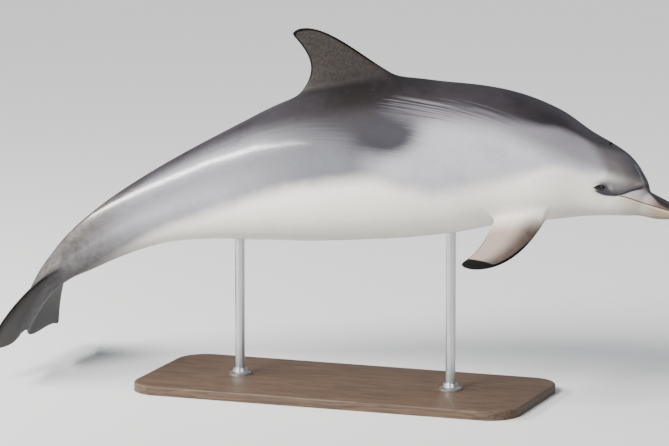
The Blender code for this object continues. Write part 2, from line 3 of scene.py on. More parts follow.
import bmesh
import bpy
import numpy as np
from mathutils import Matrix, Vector

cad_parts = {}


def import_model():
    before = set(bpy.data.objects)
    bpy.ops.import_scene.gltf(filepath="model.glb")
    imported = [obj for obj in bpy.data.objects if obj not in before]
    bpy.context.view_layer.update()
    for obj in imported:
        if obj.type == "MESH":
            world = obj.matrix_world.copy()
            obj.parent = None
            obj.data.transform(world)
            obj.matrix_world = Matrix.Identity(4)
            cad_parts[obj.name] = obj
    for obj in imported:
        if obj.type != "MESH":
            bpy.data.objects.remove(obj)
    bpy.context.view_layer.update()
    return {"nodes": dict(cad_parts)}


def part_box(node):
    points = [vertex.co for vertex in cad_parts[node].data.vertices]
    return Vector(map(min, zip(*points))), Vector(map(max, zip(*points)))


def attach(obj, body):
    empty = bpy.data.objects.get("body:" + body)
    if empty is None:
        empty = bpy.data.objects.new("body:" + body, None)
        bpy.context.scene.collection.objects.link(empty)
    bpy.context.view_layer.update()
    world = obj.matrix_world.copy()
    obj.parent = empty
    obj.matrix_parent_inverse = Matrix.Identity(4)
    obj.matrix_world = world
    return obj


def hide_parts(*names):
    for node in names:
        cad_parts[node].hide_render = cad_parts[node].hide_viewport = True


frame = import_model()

print("frame loaded:", len(frame["nodes"]), "nodes")

# The animal's own axis runs back from the beak tip. A place on it is a distance in metres along that axis and
# a height in degrees above the horizontal, from -90 at the belly to 90 at the back, on either side.
body = {
    "length": 2.486,
    "tailPoint": 0.004,
    "beakTip": (1.1335, 0.642),
    "slopes": (
        (0.00, -9.0), (0.15, -17.0), (0.30, -18.4), (0.50, -10.5), (0.80, 4.0), (1.10, 8.6),
        (1.40, 16.0), (1.70, 20.0), (2.00, 30.0), (2.20, 39.5), (2.35, 57.0), (2.50, 74.0),
    ),
    # distance, height above the axis, depth below it, half width
    "trunk": (
        (0.115, 0.020, 0.020, 0.020),
        (0.130, 0.030, 0.032, 0.042),
        (0.150, 0.062, 0.040, 0.062),
        (0.175, 0.085, 0.052, 0.078),
        (0.210, 0.111, 0.066, 0.093),
        (0.250, 0.129, 0.083, 0.104),
        (0.300, 0.139, 0.105, 0.116),
        (0.370, 0.150, 0.139, 0.133),
        (0.480, 0.187, 0.180, 0.162),
        (0.620, 0.214, 0.215, 0.192),
        (0.800, 0.233, 0.247, 0.218),
        (0.980, 0.256, 0.257, 0.228),
        (1.150, 0.251, 0.251, 0.218),
        (1.300, 0.225, 0.236, 0.194),
        (1.450, 0.190, 0.205, 0.160),
        (1.650, 0.151, 0.152, 0.112),
        (1.850, 0.115, 0.106, 0.077),
        (2.000, 0.093, 0.086, 0.056),
        (2.150, 0.071, 0.066, 0.040),
        (2.220, 0.058, 0.050, 0.036),
        (2.290, 0.047, 0.038, 0.042),
        (2.360, 0.035, 0.028, 0.052),
        (2.430, 0.022, 0.018, 0.050),
        (2.486, 0.009, 0.008, 0.022),
    ),
    "beak": (
        (0.000, 0.0165, 0.0175, 0.022),
        (0.020, 0.0195, 0.0205, 0.026),
        (0.050, 0.0245, 0.0255, 0.033),
        (0.090, 0.0320, 0.0355, 0.040),
        (0.120, 0.0356, 0.0388, 0.048),
        (0.200, 0.0500, 0.0530, 0.065),
        (0.400, 0.0300, 0.0500, 0.060),
    ),
    "beakRounding": 0.020,
    "sectionExponent": (
        (0.0, 2.15), (0.4, 2.10), (1.3, 2.0), (1.7, 1.85), (2.1, 1.70), (2.3, 1.85), (2.5, 2.0),
    ),
    "creaseBlend": ((0.0, 0.003), (0.12, 0.006), (0.17, 0.014), (0.30, 0.040), (2.5, 0.040)),
}

# Rings lie close together over the beak and face and wide apart over the trunk.
grid = {
    "columns": 160,
    "ringStep": (
        (0.000, 0.0003), (0.003, 0.0008), (0.010, 0.0020), (0.022, 0.0034), (0.110, 0.0034),
        (0.140, 0.0024), (0.220, 0.0026), (0.240, 0.0040), (0.320, 0.0050), (0.400, 0.0085),
        (0.900, 0.0100), (1.400, 0.0115), (2.100, 0.0115), (2.250, 0.0080), (2.486, 0.0060),
    ),
}

# The mouth line, with columns drawn in towards it so that its lips are sharp.
mouth = {
    "line": ((0.0, 13.5), (0.06, 15.0), (0.10, 14.0), (0.14, 12.2), (0.185, 11.3), (0.205, 9.0),
             (0.3, 9.0)),
    "column": 11.25,
    "gather": 0.6,
    "gatherReach": (25, 30),
    "gatherFade": (0.20, 0.34),
    "corner": 0.200,
    "tipHeight": 0.0045,
    "leastGirth": 0.019,
    "lead": 0.004,
    "leadFade": 0.06,
    "lipSoftness": 0.0012,
    "depth": 0.0032,
    "halfWidth": 0.0015,
}


def smoothTable(table, column, place):
    knots = np.array([row[0] for row in table], float)
    values = np.array([row[column] for row in table], float)
    widths = np.diff(knots)
    slopes = np.diff(values) / widths
    tangents = np.zeros(len(knots))
    for i in range(1, len(knots) - 1):
        if slopes[i - 1] * slopes[i] > 0:
            near = 2 * widths[i] + widths[i - 1]
            far = widths[i] + 2 * widths[i - 1]
            tangents[i] = (near + far) / (near / slopes[i - 1] + far / slopes[i])
    tangents[0] = slopes[0]
    tangents[-1] = slopes[-1]
    place = np.clip(np.asarray(place, float), knots[0], knots[-1])
    i = np.clip(np.searchsorted(knots, place, side="right") - 1, 0, len(widths) - 1)
    t = (place - knots[i]) / widths[i]
    rise = 3 * t**2 - 2 * t**3
    leave = t * (1 - t) ** 2 * widths[i] * tangents[i]
    arrive = t**2 * (t - 1) * widths[i] * tangents[i + 1]
    return (1 - rise) * values[i] + rise * values[i + 1] + leave + arrive


def smoothStep(start, end, value):
    t = np.clip((np.asarray(value, float) - start) / (end - start), 0.0, 1.0)
    return t * t * (3 - 2 * t)


def hump(value, halfWidth):
    return np.exp(-((np.asarray(value, float) / halfWidth) ** 2))


def window(value, start, end, soft):
    return smoothStep(start - soft, start + soft, value) * (1 - smoothStep(end - soft, end + soft, value))


def makeAxis():
    distance = np.linspace(0.0, body["length"] + 0.10, 2081)
    slope = np.radians(smoothTable(body["slopes"], 1, distance))
    step = np.diff(distance)
    run = np.concatenate([[0.0], np.cumsum(step * (np.cos(slope[1:]) + np.cos(slope[:-1])) / 2)])
    fall = np.concatenate([[0.0], np.cumsum(step * (np.sin(slope[1:]) + np.sin(slope[:-1])) / 2)])
    return distance, body["beakTip"][0] - run, body["beakTip"][1] - fall, slope


axis = makeAxis()


def fromBody(distance, side, height):
    distance, side, height = np.broadcast_arrays(distance, side, height)
    x = np.interp(distance, axis[0], axis[1])
    z = np.interp(distance, axis[0], axis[2])
    slope = np.interp(distance, axis[0], axis[3])
    return np.stack([x - np.sin(slope) * height, side, z + np.cos(slope) * height], axis=-1)


def heightOf(angle):
    # degrees above the horizontal for an angle that runs all the way round from the left side
    turned = (np.asarray(angle, float) + math.pi / 2) % (2 * math.pi) - math.pi / 2
    return np.degrees(np.where(turned > math.pi / 2, math.pi - turned, turned))


def angleOf(height, hand):
    height = np.radians(height)
    return height if hand > 0 else math.pi - height


def ovalRadius(sizes, distance, angle, exponent):
    up = smoothTable(sizes, 1, distance)
    down = smoothTable(sizes, 2, distance)
    halfWidth = smoothTable(sizes, 3, distance)
    tall = np.where(np.sin(angle) > 0, up, down)
    across = (np.abs(np.cos(angle)) / halfWidth) ** exponent
    upright = (np.abs(np.sin(angle)) / tall) ** exponent
    return (across + upright) ** (-1 / exponent)


def sectionRadius(distance, angle):
    exponent = smoothTable(body["sectionExponent"], 1, distance)
    trunk = ovalRadius(body["trunk"], distance, angle, exponent)
    trunk = np.where(distance < body["trunk"][0][0], 0.0, trunk)
    beak = ovalRadius(body["beak"], distance, angle, exponent)
    beak = np.where(distance > body["beak"][-1][0], 0.0, beak)
    tip = np.clip(1 - distance / body["beakRounding"], 0.0, 1.0)
    beak = beak * np.sqrt(np.maximum(1 - tip**2, 0.0))
    blend = smoothTable(body["creaseBlend"], 1, distance)
    overlap = np.maximum(blend - np.abs(trunk - beak), 0.0) / blend
    return np.maximum(trunk, beak) + overlap**2 * blend / 4


def mouthOffset(distance, angle, radius):
    # arc distance above the mouth line, which runs level across the front of the beak
    line = np.radians(smoothTable(mouth["line"], 1, distance))
    level = np.maximum(radius, mouth["leastGirth"]) * np.sin(line)
    level = np.where(distance < body["beakRounding"], mouth["tipHeight"], level)
    return radius * np.sin(angle) - level


def skinPoint(distance, angle):
    radius = sectionRadius(distance, angle)
    point = fromBody(distance, radius * np.cos(angle), radius * np.sin(angle))
    off = mouthOffset(distance, angle, radius) / mouth["lipSoftness"]
    above = 1 / (1 + np.exp(np.clip(-off, -40, 40)))
    nearTip = np.clip(1 - distance / mouth["leadFade"], 0.0, 1.0) ** 2
    point[..., 0] -= mouth["lead"] * above * nearTip
    return point


def skinNormals(distance, angle):
    small = 1e-4
    along = skinPoint(distance + small, angle) - skinPoint(distance - small, angle)
    around = skinPoint(distance, angle + small) - skinPoint(distance, angle - small)
    normal = np.cross(along, around)
    return normal / np.maximum(np.linalg.norm(normal, axis=-1, keepdims=True), 1e-12)


def spots(rows, distance, height):
    # sum of soft spots: distance, height, reach along, reach round in degrees, strength
    return sum(
        strength * hump(distance - place, along) * hump(height - middle, turn)
        for place, middle, along, turn, strength in rows
    )


# Eyes: u runs forward and v up over the skin from the middle of the opening.
eye = {
    "distance": 0.265,
    "height": 11.5,
    "girth": 0.108,  # radius of the head there
    "tilt": 22.0,
    "halfSizes": (0.019, 0.015, 0.014),
    "sink": 0.0105,
    "openHalfLength": 0.0142,
    "openUp": 0.0062,
    "openDown": 0.0054,
    "pointed": 0.25,
    "bulge": (0.0034, 0.032, 0.024),  # rise, half length, half height
    "lidThickness": 0.0013,
    "lidRun": 0.0052,
    "lidRoll": (0.0011, 0.0030, 0.0018),  # rise, distance from the opening, half width
    # folds over and under the lids: depth, height, bend, half width, middle, half length
    "upperFolds": ((0.0015, 0.0124, -14, 0.0014, 0.0, 0.019), (0.0006, 0.0185, -10, 0.0016, 0.002, 0.018)),
    "lowerFolds": ((0.0008, -0.0112, 12, 0.0013, 0.0, 0.017),),
    # how they fade in from the corners, over the sine of the angle round the eye
    "upperFade": (-0.2, 0.6),
    "lowerFade": (0.0, 0.7),
    # lines that run on from the front and rear corners: side, depth, slope, half width, start, end
    "corners": ((1, 0.0012, 0.10, 0.0016, 0.016, 0.030), (-1, 0.0010, 0.0, 0.0015, 0.016, 0.026)),
    "cornerSoftness": 0.004,
    "cornerTurn": 0.015,
    "creases": (0.0292, 0.0358),  # raised folds ahead of the eye, with a painted pale highlight along them
    "creaseSize": (0.0005, 0.0016, 0.008),  # rise, half width, half length
    # loops inside the lid: share of the opening, height over the ball
    "rim": ((0.975, 0.0011), (0.955, 0.0005), (0.945, -0.0003), (0.92, -0.0020), (0.5, -0.0040)),
    "patch": (0.228, 0.304),
    "middle": 45,
    "spread": 10,
    "loops": 30,
    "crowding": 1.8,
    "margin": 0.012,
}

blowhole = {
    "distance": 0.298,
    "halfWidth": 0.015,
    "curve": 0.020,
    "ahead": 0.004,
    "slit": (0.0085, 0.0025),  # depth, half width
    "lips": ((0.0014, -0.0055, 0.0045), (0.0010, 0.006, 0.006)),  # rise, place, half width
    "rim": (0.0008, 0.8, 0.026),  # rise, flattening, radius
    "patch": (0.262, 0.338),
    "spread": 9,
    "loops": 34,
    "crowding": 1.15,
    "margin": 0.010,
}


def eyePlace(distance, height):
    turn = math.radians(eye["tilt"])
    ahead = eye["distance"] - distance
    above = np.radians(height - eye["height"]) * eye["girth"]
    return ahead * math.cos(turn) + above * math.sin(turn), above * math.cos(turn) - ahead * math.sin(turn)


def fromEye(u, v):
    turn = math.radians(eye["tilt"])
    ahead = u * math.cos(turn) - v * math.sin(turn)
    above = u * math.sin(turn) + v * math.cos(turn)
    return eye["distance"] - ahead, eye["height"] + np.degrees(above / eye["girth"])


def eyeTurn(u, v):
    return np.arctan2(v / np.where(v > 0, eye["openUp"], eye["openDown"]), u / eye["openHalfLength"])


def eyeEdge(turn):
    # outline of the opening at an angle round the eye, pointed towards its corners
    up = np.sin(turn)
    tall = np.where(up > 0, eye["openUp"], eye["openDown"])
    return eye["openHalfLength"] * np.cos(turn), tall * up * np.abs(up) ** eye["pointed"]


def ballHeight(u, v):
    across, tall, deep = eye["halfSizes"]
    return deep * np.sqrt(np.maximum(1 - (u / across) ** 2 - (v / tall) ** 2, 0.02)) - eye["sink"]


def lidFolds(rows, u, v):
    return sum(
        depth * hump(v - level - bend * u**2, halfWidth) * hump(u - middle, halfLength)
        for depth, level, bend, halfWidth, middle, halfLength in rows
    )


def eyeRelief(distance, height):
    u, v = eyePlace(distance, height)
    turn = eyeTurn(u, v)
    edgeU, edgeV = eyeEdge(turn)
    reach = np.hypot(u, v)
    opening = np.hypot(edgeU, edgeV)
    rise, halfLength, halfHeight = eye["bulge"]
    bulge = rise * hump(u, halfLength) * hump(v, halfHeight)
    edge = ballHeight(edgeU, edgeV) + eye["lidThickness"]
    gap = np.maximum(reach - opening, 0.0)
    rise, out, halfWidth = eye["lidRoll"]
    lid = (edge - bulge) * hump(gap, eye["lidRun"]) + rise * hump(gap - out, halfWidth)
    lift = bulge + np.where(reach / np.maximum(opening, 1e-6) > 0.98, lid, edge - bulge)
    lift -= lidFolds(eye["upperFolds"], u, v) * smoothStep(*eye["upperFade"], np.sin(turn))
    lift -= lidFolds(eye["lowerFolds"], u, v) * smoothStep(*eye["lowerFade"], -np.sin(turn))
    for side, depth, slope, halfWidth, start, end in eye["corners"]:
        line = hump(v + slope * (u - eye["cornerTurn"]), halfWidth)
        lift -= depth * line * window(side * u, start, end, eye["cornerSoftness"])
    rise, halfWidth, halfLength = eye["creaseSize"]
    for place in eye["creases"]:
        lift += rise * hump(u - place, halfWidth) * hump(v, halfLength)
    return lift


def blowholePlace(distance, height, radius):
    # distance ahead of the curved slit, and how far along it from 1 in the middle to 0 at its ends
    u = blowhole["distance"] - distance
    v = np.radians(90 - height) * radius
    share = np.clip(1 - (v / blowhole["halfWidth"]) ** 2, 0.0, 1.0)
    return u, v, u + blowhole["ahead"] - v**2 / (2 * blowhole["curve"]), share


def blowholeRelief(distance, height, radius):
    u, v, arc, share = blowholePlace(distance, height, radius)
    depth, halfWidth = blowhole["slit"]
    lift = -depth * np.sqrt(share) * hump(arc, halfWidth)
    for rise, place, halfWidth in blowhole["lips"]:
        lift += rise * share * hump(arc - place, halfWidth)
    rise, flat, size = blowhole["rim"]
    return lift + rise * hump(np.hypot(u, v * flat), size)


# Folds and muscle under the skin.
relief = {
    # distance, height, reach along, reach round, rise
    "swells": (
        (0.500, -34.0, 0.095, 22.0, 0.0045),
        (0.640, -62.0, 0.050, 14.0, -0.0045),
        (0.360, 20.0, 0.060, 30.0, -0.0025),
        (0.205, 40.0, 0.030, 22.0, 0.0020),
        (0.230, -30.0, 0.060, 24.0, 0.0025),
        (0.720, 12.0, 0.180, 26.0, 0.0030),
    ),
    "lips": ((0.0010, 0.0055, 0.0036), (0.0009, -0.0055, 0.0040)),  # rise, height over the mouth, half width
    "lipStart": (0.004, 0.02),
    "cornerFade": 0.006,
    "cornerFold": (0.0012, 0.207, 0.00012, 0.0028, 9),  # depth, distance, bend, half width, degrees tall
    # height of the bridle line, which runs from the crease round the beak to the eye
    "bridle": ((0.140, 92.0), (0.145, 72.0), (0.152, 54.0), (0.160, 43.3), (0.171, 33.5), (0.182, 25.0),
               (0.193, 17.5), (0.204, 12.0), (0.214, 8.5), (0.232, 5.0), (0.250, 3.5), (0.275, 5.0),
               (0.290, 8.0)),
    "bridleDepth": 0.0007,
    "bridleHalfWidth": 0.0055,
    "bridleEnds": (0.138, 0.150, 0.246, 0.262),
    # ridges and grooves: the line they follow, how far out, half width, rise, start, end, softness
    "ridges": (
        ("flank", 6, 13, -0.0032, 1.30, 2.12, 0.14),
        ("spine", 0.0, 0.014, 0.0030, 1.34, 2.20, 0.08),
        ("keel", 0.0, 0.0050, -0.0040, 1.50, 1.61, 0.02),
        ("keel", 0.010, 0.007, 0.0016, 1.50, 1.61, 0.02),
    ),
    "navel": (1.02, 0.010, 0.0030),  # distance, radius, depth
    "patchSoftness": 0.008,
}


def bridleOffset(distance, height, radius):
    step = 0.002
    line, ahead, behind = (smoothTable(relief["bridle"], 1, distance + shift) for shift in (0.0, step, -step))
    climb = np.radians(ahead - behind) / (2 * step) * radius
    return np.radians(height - line) * radius / np.sqrt(1 + climb**2)


def skinRelief(distance, angle):
    distance = np.asarray(distance, float)
    height = heightOf(angle)
    radius = sectionRadius(distance, angle)
    rise = spots(relief["swells"], distance, height)

    off = mouthOffset(distance, angle, radius)
    lips = sum(lift * hump(off - place, halfWidth) for lift, place, halfWidth in relief["lips"])
    lips = lips * smoothStep(*relief["lipStart"], distance)
    fade = relief["cornerFade"]
    inMouth = 1 - smoothStep(mouth["corner"] - fade, mouth["corner"] + fade, distance)
    rise += inMouth * (lips - mouth["depth"] * hump(off, mouth["halfWidth"]))
    depth, place, bend, halfWidth, tall = relief["cornerFold"]
    rise -= depth * hump(distance - place - bend * (height - 9) ** 2, halfWidth) * hump(height - 6, tall)
    ends = relief["bridleEnds"]
    along = smoothStep(*ends[:2], distance) * (1 - smoothStep(*ends[2:], distance))
    line = hump(bridleOffset(distance, height, radius), relief["bridleHalfWidth"])
    rise -= relief["bridleDepth"] * along * line

    keel = np.abs(np.radians(height + 90) * radius)
    lines = {"flank": height, "spine": np.radians(90 - height) * radius, "keel": keel}
    for line, out, halfWidth, lift, *run in relief["ridges"]:
        rise += lift * hump(lines[line] - out, halfWidth) * window(distance, *run)
    place, size, depth = relief["navel"]
    rise -= depth * hump(keel, size) * hump(distance - place, size)

    def near(part):
        start, end = part["patch"]
        return window(distance, start - part["margin"], end + part["margin"], relief["patchSoftness"])

    rise += eyeRelief(distance, height) * near(eye)
    rise += blowholeRelief(distance, height, radius) * near(blowhole)
    return rise


def reliefPoint(distance, angle):
    lift = skinRelief(distance, angle)[..., None]
    return skinPoint(distance, angle) + skinNormals(distance, angle) * lift


def ringDistances():
    fine = np.linspace(0.0, body["length"], 20001)
    density = 1 / smoothTable(grid["ringStep"], 1, fine)
    count = np.concatenate([[0.0], np.cumsum((density[1:] + density[:-1]) / 2 * np.diff(fine))])
    rings = int(round(count[-1]))
    return np.interp(np.arange(1, rings + 1) * count[-1] / rings, count, fine)


def columnAngles(distance):
    # column 0 is the belly's middle line, and the count runs up the left side
    turned = np.arange(grid["columns"]) * 360 / grid["columns"] - 90
    onRight = turned > 90
    height = np.where(onRight, 180 - turned, turned)
    off = height - mouth["column"]
    line = float(smoothTable(mouth["line"], 1, distance))
    fade = 1 - smoothStep(*mouth["gatherFade"], distance)
    shiftReach, gatherReach = mouth["gatherReach"]
    shift = (line - mouth["column"]) * hump(off, shiftReach)
    height = height + fade * (shift - mouth["gather"] * off * hump(off, gatherReach))
    return np.radians(np.where(onRight, 180 - height, height))


# Fins: edges as cubic curves, as in the solids. Spans are in metres, patches are distances along the body.
fins = {
    "dorsal": {
        "patch": (0.918, 1.306), "middle": 80, "spread": 10,
        "leading": ((0.926, 0.250), (1.035, 0.296), (1.155, 0.471), (1.236, 0.440)),
        "trailing": ((1.283, 0.222), (1.178, 0.291), (1.203, 0.355), (1.245, 0.430)),
        "thickness": ((0.0, 0.050), (0.5, 0.030), (0.9, 0.013), (1.0, 0.006)),
        "tipRound": 0.05,
    },
    "fluke": {
        "patch": (2.180, 2.480), "middle": 40, "spread": 22,
        "leading": ((2.205, 0.020), (2.270, 0.125), (2.370, 0.225), (2.520, 0.300)),
        "trailing": ((2.486, 0.006), (2.565, 0.070), (2.492, 0.205), (2.530, 0.300)),
        "thickness": ((0.0, 0.030), (0.3, 0.022), (0.8, 0.012), (1.0, 0.005)),
        "tipRound": 0.05,
    },
    "flipper": {
        "patch": (0.400, 0.612), "middle": 15, "spread": 10,
        "place": 0.5075, "height": -56.25,
        "spans": {1: (-0.412, 0.865, -0.232), -1: (-0.233, 0.888, -0.397)},
        "chord": (-1.0, 0.0, 0.0),
        "rootDepth": 0.030,
        "leading": ((-0.015, -0.085), (0.070, -0.100), (0.325, -0.158), (0.346, 0.004)),
        "trailing": ((0.045, 0.066), (0.120, 0.052), (0.235, 0.003), (0.332, 0.038)),
        "thickness": ((0.0, 0.044), (0.4, 0.030), (0.8, 0.014), (1.0, 0.006)),
        "tipRound": 0.07,
    },
    "trailingEdge": 0.0025,
    "noseTurn": 0.16,
    "tailTurn": 0.10,
    "filletShare": 0.18,
    "filletRun": 1.6,
    "filletRise": 1.2,
    "filletAim": 0.02,
    "filletLoops": 12,
    "rootEdge": 0.03,
    "loops": 44,
    "tipCrowding": 1.15,
    "tipFullness": 2.6,
    # half thickness of a wing section over its chord: square root of the share, then its first four powers
    "wing": (2.969, -1.26, -3.516, 2.843, -1.036),
}


def cubic(points, t):
    a, b, c, d = np.array(points, float)
    return (1 - t) ** 3 * a + 3 * t * (1 - t) ** 2 * b + 3 * t**2 * (1 - t) * c + t**3 * d


def chordShares(rows, spread):
    nose = fins["noseTurn"] * math.pi
    tail = math.pi - fins["tailTurn"] * math.pi
    turn = np.concatenate([
        np.linspace(0.0, nose, spread + 1)[:-1],
        np.linspace(nose, tail, rows + 1)[:-1],
        np.linspace(tail, math.pi, spread + 1),
    ])
    share = (1 - np.cos(turn)) / 2
    side = np.ones(len(share))
    return np.concatenate([share, share[-2:0:-1]]), np.concatenate([side, -side[-2:0:-1]])


def finProfile(shape, t, share, side):
    # middle line and half thickness of one section, drawn in round the tip
    leading = cubic(shape["leading"], t)
    trailing = cubic(shape["trailing"], t)
    close = max(0.0, (t - 1) / shape["tipRound"] + 1)
    keep = (1 - min(close, 1.0) ** fins["tipFullness"]) ** (1 / fins["tipFullness"])
    middle = leading + (0.5 + (share[:, None] - 0.5) * keep) * (trailing - leading)
    thickness = float(smoothTable(shape["thickness"], 1, t)) * keep
    powers = (np.sqrt(share), share, share**2, share**3, share**4)
    rib = sum(factor * power for factor, power in zip(fins["wing"], powers))
    edge = fins["trailingEdge"] / 2 * keep * np.sqrt(np.clip(1 - (2 * share - 1) ** 2, 0.0, 1.0))
    return middle, side * (thickness / 2 * rib + edge), np.linalg.norm(trailing - leading) * keep


def dorsalSection(t, share, side):
    middle, half, chord = finProfile(fins["dorsal"], t, share, side)
    return fromBody(middle[:, 0], -half, middle[:, 1]), chord


def flukeSection(hand):
    def section(t, share, side):
        middle, half, chord = finProfile(fins["fluke"], t, share, side)
        return fromBody(middle[:, 0], hand * middle[:, 1], hand * half), chord

    return section


def flipperSection(hand):
    shape = fins["flipper"]
    root = skinPoint(np.array(shape["place"]), np.array(math.radians(shape["height"])))
    span = np.array(shape["spans"][hand]) / np.linalg.norm(shape["spans"][hand])
    chord = np.array(shape["chord"])
    chord = chord - (chord @ span) * span
    chord = chord / np.linalg.norm(chord)
    thick = np.cross(span, chord) * hand
    root = root - shape["rootDepth"] * span
    mirror = np.array([1.0, hand, 1.0])

    def section(t, share, side):
        middle, half, length = finProfile(shape, t, share, side)
        point = root + middle[:, :1] * span + middle[:, 1:] * chord + half[:, None] * thick
        return point * mirror, length

    return section


# One skin is gathered here: points with their values, faces with their places on the unwrapped map.
class Skin:
    def __init__(self):
        self.points = []
        self.values = []
        self.faces = []
        self.places = []

    def add(self, points, **values):
        first = len(self.points)
        count = len(points)
        self.points.extend(np.asarray(points, float))
        whole = {"distance": 0.0, "height": 0.0, "kind": 0.0, "span": 0.0, "share": 0.5, "edge": 1.0}
        whole.update(values)
        columns = [np.broadcast_to(whole[name], (count,)) for name in sorted(whole)]
        self.values.extend(np.stack(columns, axis=-1))
        return list(range(first, first + count))

    def value(self, name):
        order = sorted(["distance", "height", "kind", "span", "share", "edge"])
        return np.array(self.values)[:, order.index(name)]

    def face(self, corners, places):
        self.faces.append(corners)
        self.places.append(places)


# How far each half of a fin's loops reaches over its island, and how tall the point at a loop's end is.
unwrap = {"fold": 0.495, "point": 0.01}

# Rectangles of the unwrapped map: left, bottom, width, height.
islands = {
    "body": (0.004, 0.004, 0.992, 0.600),
    "dorsal": (0.004, 0.612, 0.300, 0.190),
    "fluke1": (0.312, 0.612, 0.330, 0.190),
    "fluke-1": (0.650, 0.612, 0.340, 0.190),
    "flipper1": (0.004, 0.810, 0.230, 0.186),
    "flipper-1": (0.242, 0.810, 0.230, 0.186),
    "eye1": (0.480, 0.810, 0.165, 0.186),
    "eye-1": (0.653, 0.810, 0.165, 0.186),
    "blowhole": (0.826, 0.810, 0.165, 0.186),
}


def onIsland(name, x, y):
    left, bottom, width, height = islands[name]
    return left + width * x, bottom + height * y


def patchBoundary(rows, first, last, middle, spread):
    columns = [(middle + k) % grid["columns"] for k in range(-spread, spread + 1)]
    front = [rows[first][c] for c in columns]
    back = [rows[last][c] for c in columns]
    sideA = [rows[i][columns[-1]] for i in range(first + 1, last)]
    sideB = [rows[i][columns[0]] for i in range(first + 1, last)]
    return front[spread:] + sideA + back[::-1] + sideB[::-1] + front[:spread]


def joinLoops(skin, name, near, far, yNear, yFar, folded):
    count = len(near)
    for i in range(count):
        after = (i + 1) % count
        if folded:
            half = count // 2
            fold = unwrap["fold"]
            x0 = fold * i / half if i < half else 1 - fold + fold * (i - half) / half
            x1 = x0 + fold / half
        else:
            x0 = i / count
            x1 = (i + 1) / count
        corners = (near[i], near[after], far[after], far[i])
        places = ((x0, yNear), (x1, yNear), (x1, yFar), (x0, yFar))
        skin.face(corners, [onIsland(name, *place) for place in places])


def joinAll(skin, name, loops, total, folded):
    for k in range(len(loops) - 1):
        joinLoops(skin, name, loops[k], loops[k + 1], k / total, (k + 1) / total, folded)


def closeLoop(skin, name, loop, centre, values, y):
    middle = skin.add([centre], **values)[0]
    count = len(loop)
    for i in range(count):
        corners = (loop[i], loop[(i + 1) % count], middle)
        places = ((i / count, y), ((i + 1) / count, y), ((i + 0.5) / count, y + unwrap["point"]))
        skin.face(corners, [onIsland(name, *place) for place in places])


def growFin(skin, name, kind, boundary, rows, spread, sectionAt):
    share, side = chordShares(rows, spread)
    points = np.array(skin.points)
    start = points[boundary]
    distance = skin.value("distance")[boundary]
    height = skin.value("height")[boundary]
    turned = np.arctan2(np.sin(np.radians(height)), np.sign(start[:, 1]) * np.cos(np.radians(height)))
    normals = skinNormals(distance, turned)
    begin = fins["filletShare"]
    root, chord = sectionAt(begin, share, side)
    beyond, _ = sectionAt(begin + fins["filletAim"], share, side)
    leave = root - start
    reach = np.linalg.norm(leave, axis=1, keepdims=True)
    leave = fins["filletRun"] * (leave - (leave * normals).sum(axis=1, keepdims=True) * normals)
    rise = beyond - root
    rise = fins["filletRise"] * rise / np.linalg.norm(rise, axis=1, keepdims=True) * reach
    loops = [list(boundary)]
    common = {"distance": distance, "height": height, "kind": kind, "share": share}
    total = fins["filletLoops"] + fins["loops"] + 1
    for k in range(1, fins["filletLoops"] + 1):
        t = k / (fins["filletLoops"] + 1)
        blend = 3 * t**2 - 2 * t**3
        ring = (1 - blend) * start + blend * root
        ring = ring + t * (1 - t) ** 2 * leave + t**2 * (t - 1) * rise
        edge = np.minimum(share, 1 - share) * chord + (1 - t) * fins["rootEdge"]
        loops.append(skin.add(ring, **common, span=t * begin, edge=edge))
    for k in range(fins["loops"]):
        t = begin + (1 - begin) * math.sin(math.pi / 2 * k / fins["loops"]) ** fins["tipCrowding"]
        ring, chord = sectionAt(t, share, side)
        edge = np.minimum(share, 1 - share) * chord
        loops.append(skin.add(ring, **common, span=t, edge=edge))
    joinAll(skin, name, loops, total, True)
    tip, _ = sectionAt(1.0, share, side)
    last = {"distance": distance.mean(), "height": height.mean(), "kind": kind, "span": 1.0, "edge": 0.0}
    closeLoop(skin, name, loops[-1], tip.mean(axis=0), last, (len(loops) - 1) / total)


def growEye(skin, name, boundary, hand):
    distance = skin.value("distance")[boundary]
    height = skin.value("height")[boundary]
    u, v = eyePlace(distance, height)
    turn = np.arctan2(v, u)
    edgeU, edgeV = eyeEdge(turn)
    loops = [list(boundary)]
    total = eye["loops"] + len(eye["rim"]) + 1

    def ring(scale, mixIn, extra):
        ringU = u + (edgeU * scale - u) * mixIn
        ringV = v + (edgeV * scale - v) * mixIn
        place, lift = fromEye(ringU, ringV)
        turned = angleOf(lift, hand)
        if extra is None:
            points = reliefPoint(place, turned)
        else:
            fall = (ballHeight(ringU, ringV) + extra)[:, None]
            points = skinPoint(place, turned) + skinNormals(place, turned) * fall
        return skin.add(points, distance=place, height=lift)

    for k in range(1, eye["loops"] + 1):
        loops.append(ring(1.0, 1 - (1 - k / eye["loops"]) ** eye["crowding"], None))
    for scale, extra in eye["rim"]:
        loops.append(ring(scale, 1.0, extra))
    joinAll(skin, name, loops, total, False)
    centre = np.array([skin.points[n] for n in loops[-1]]).mean(axis=0)
    values = {"distance": eye["distance"], "height": eye["height"]}
    closeLoop(skin, name, loops[-1], centre, values, (total - 1) / total)


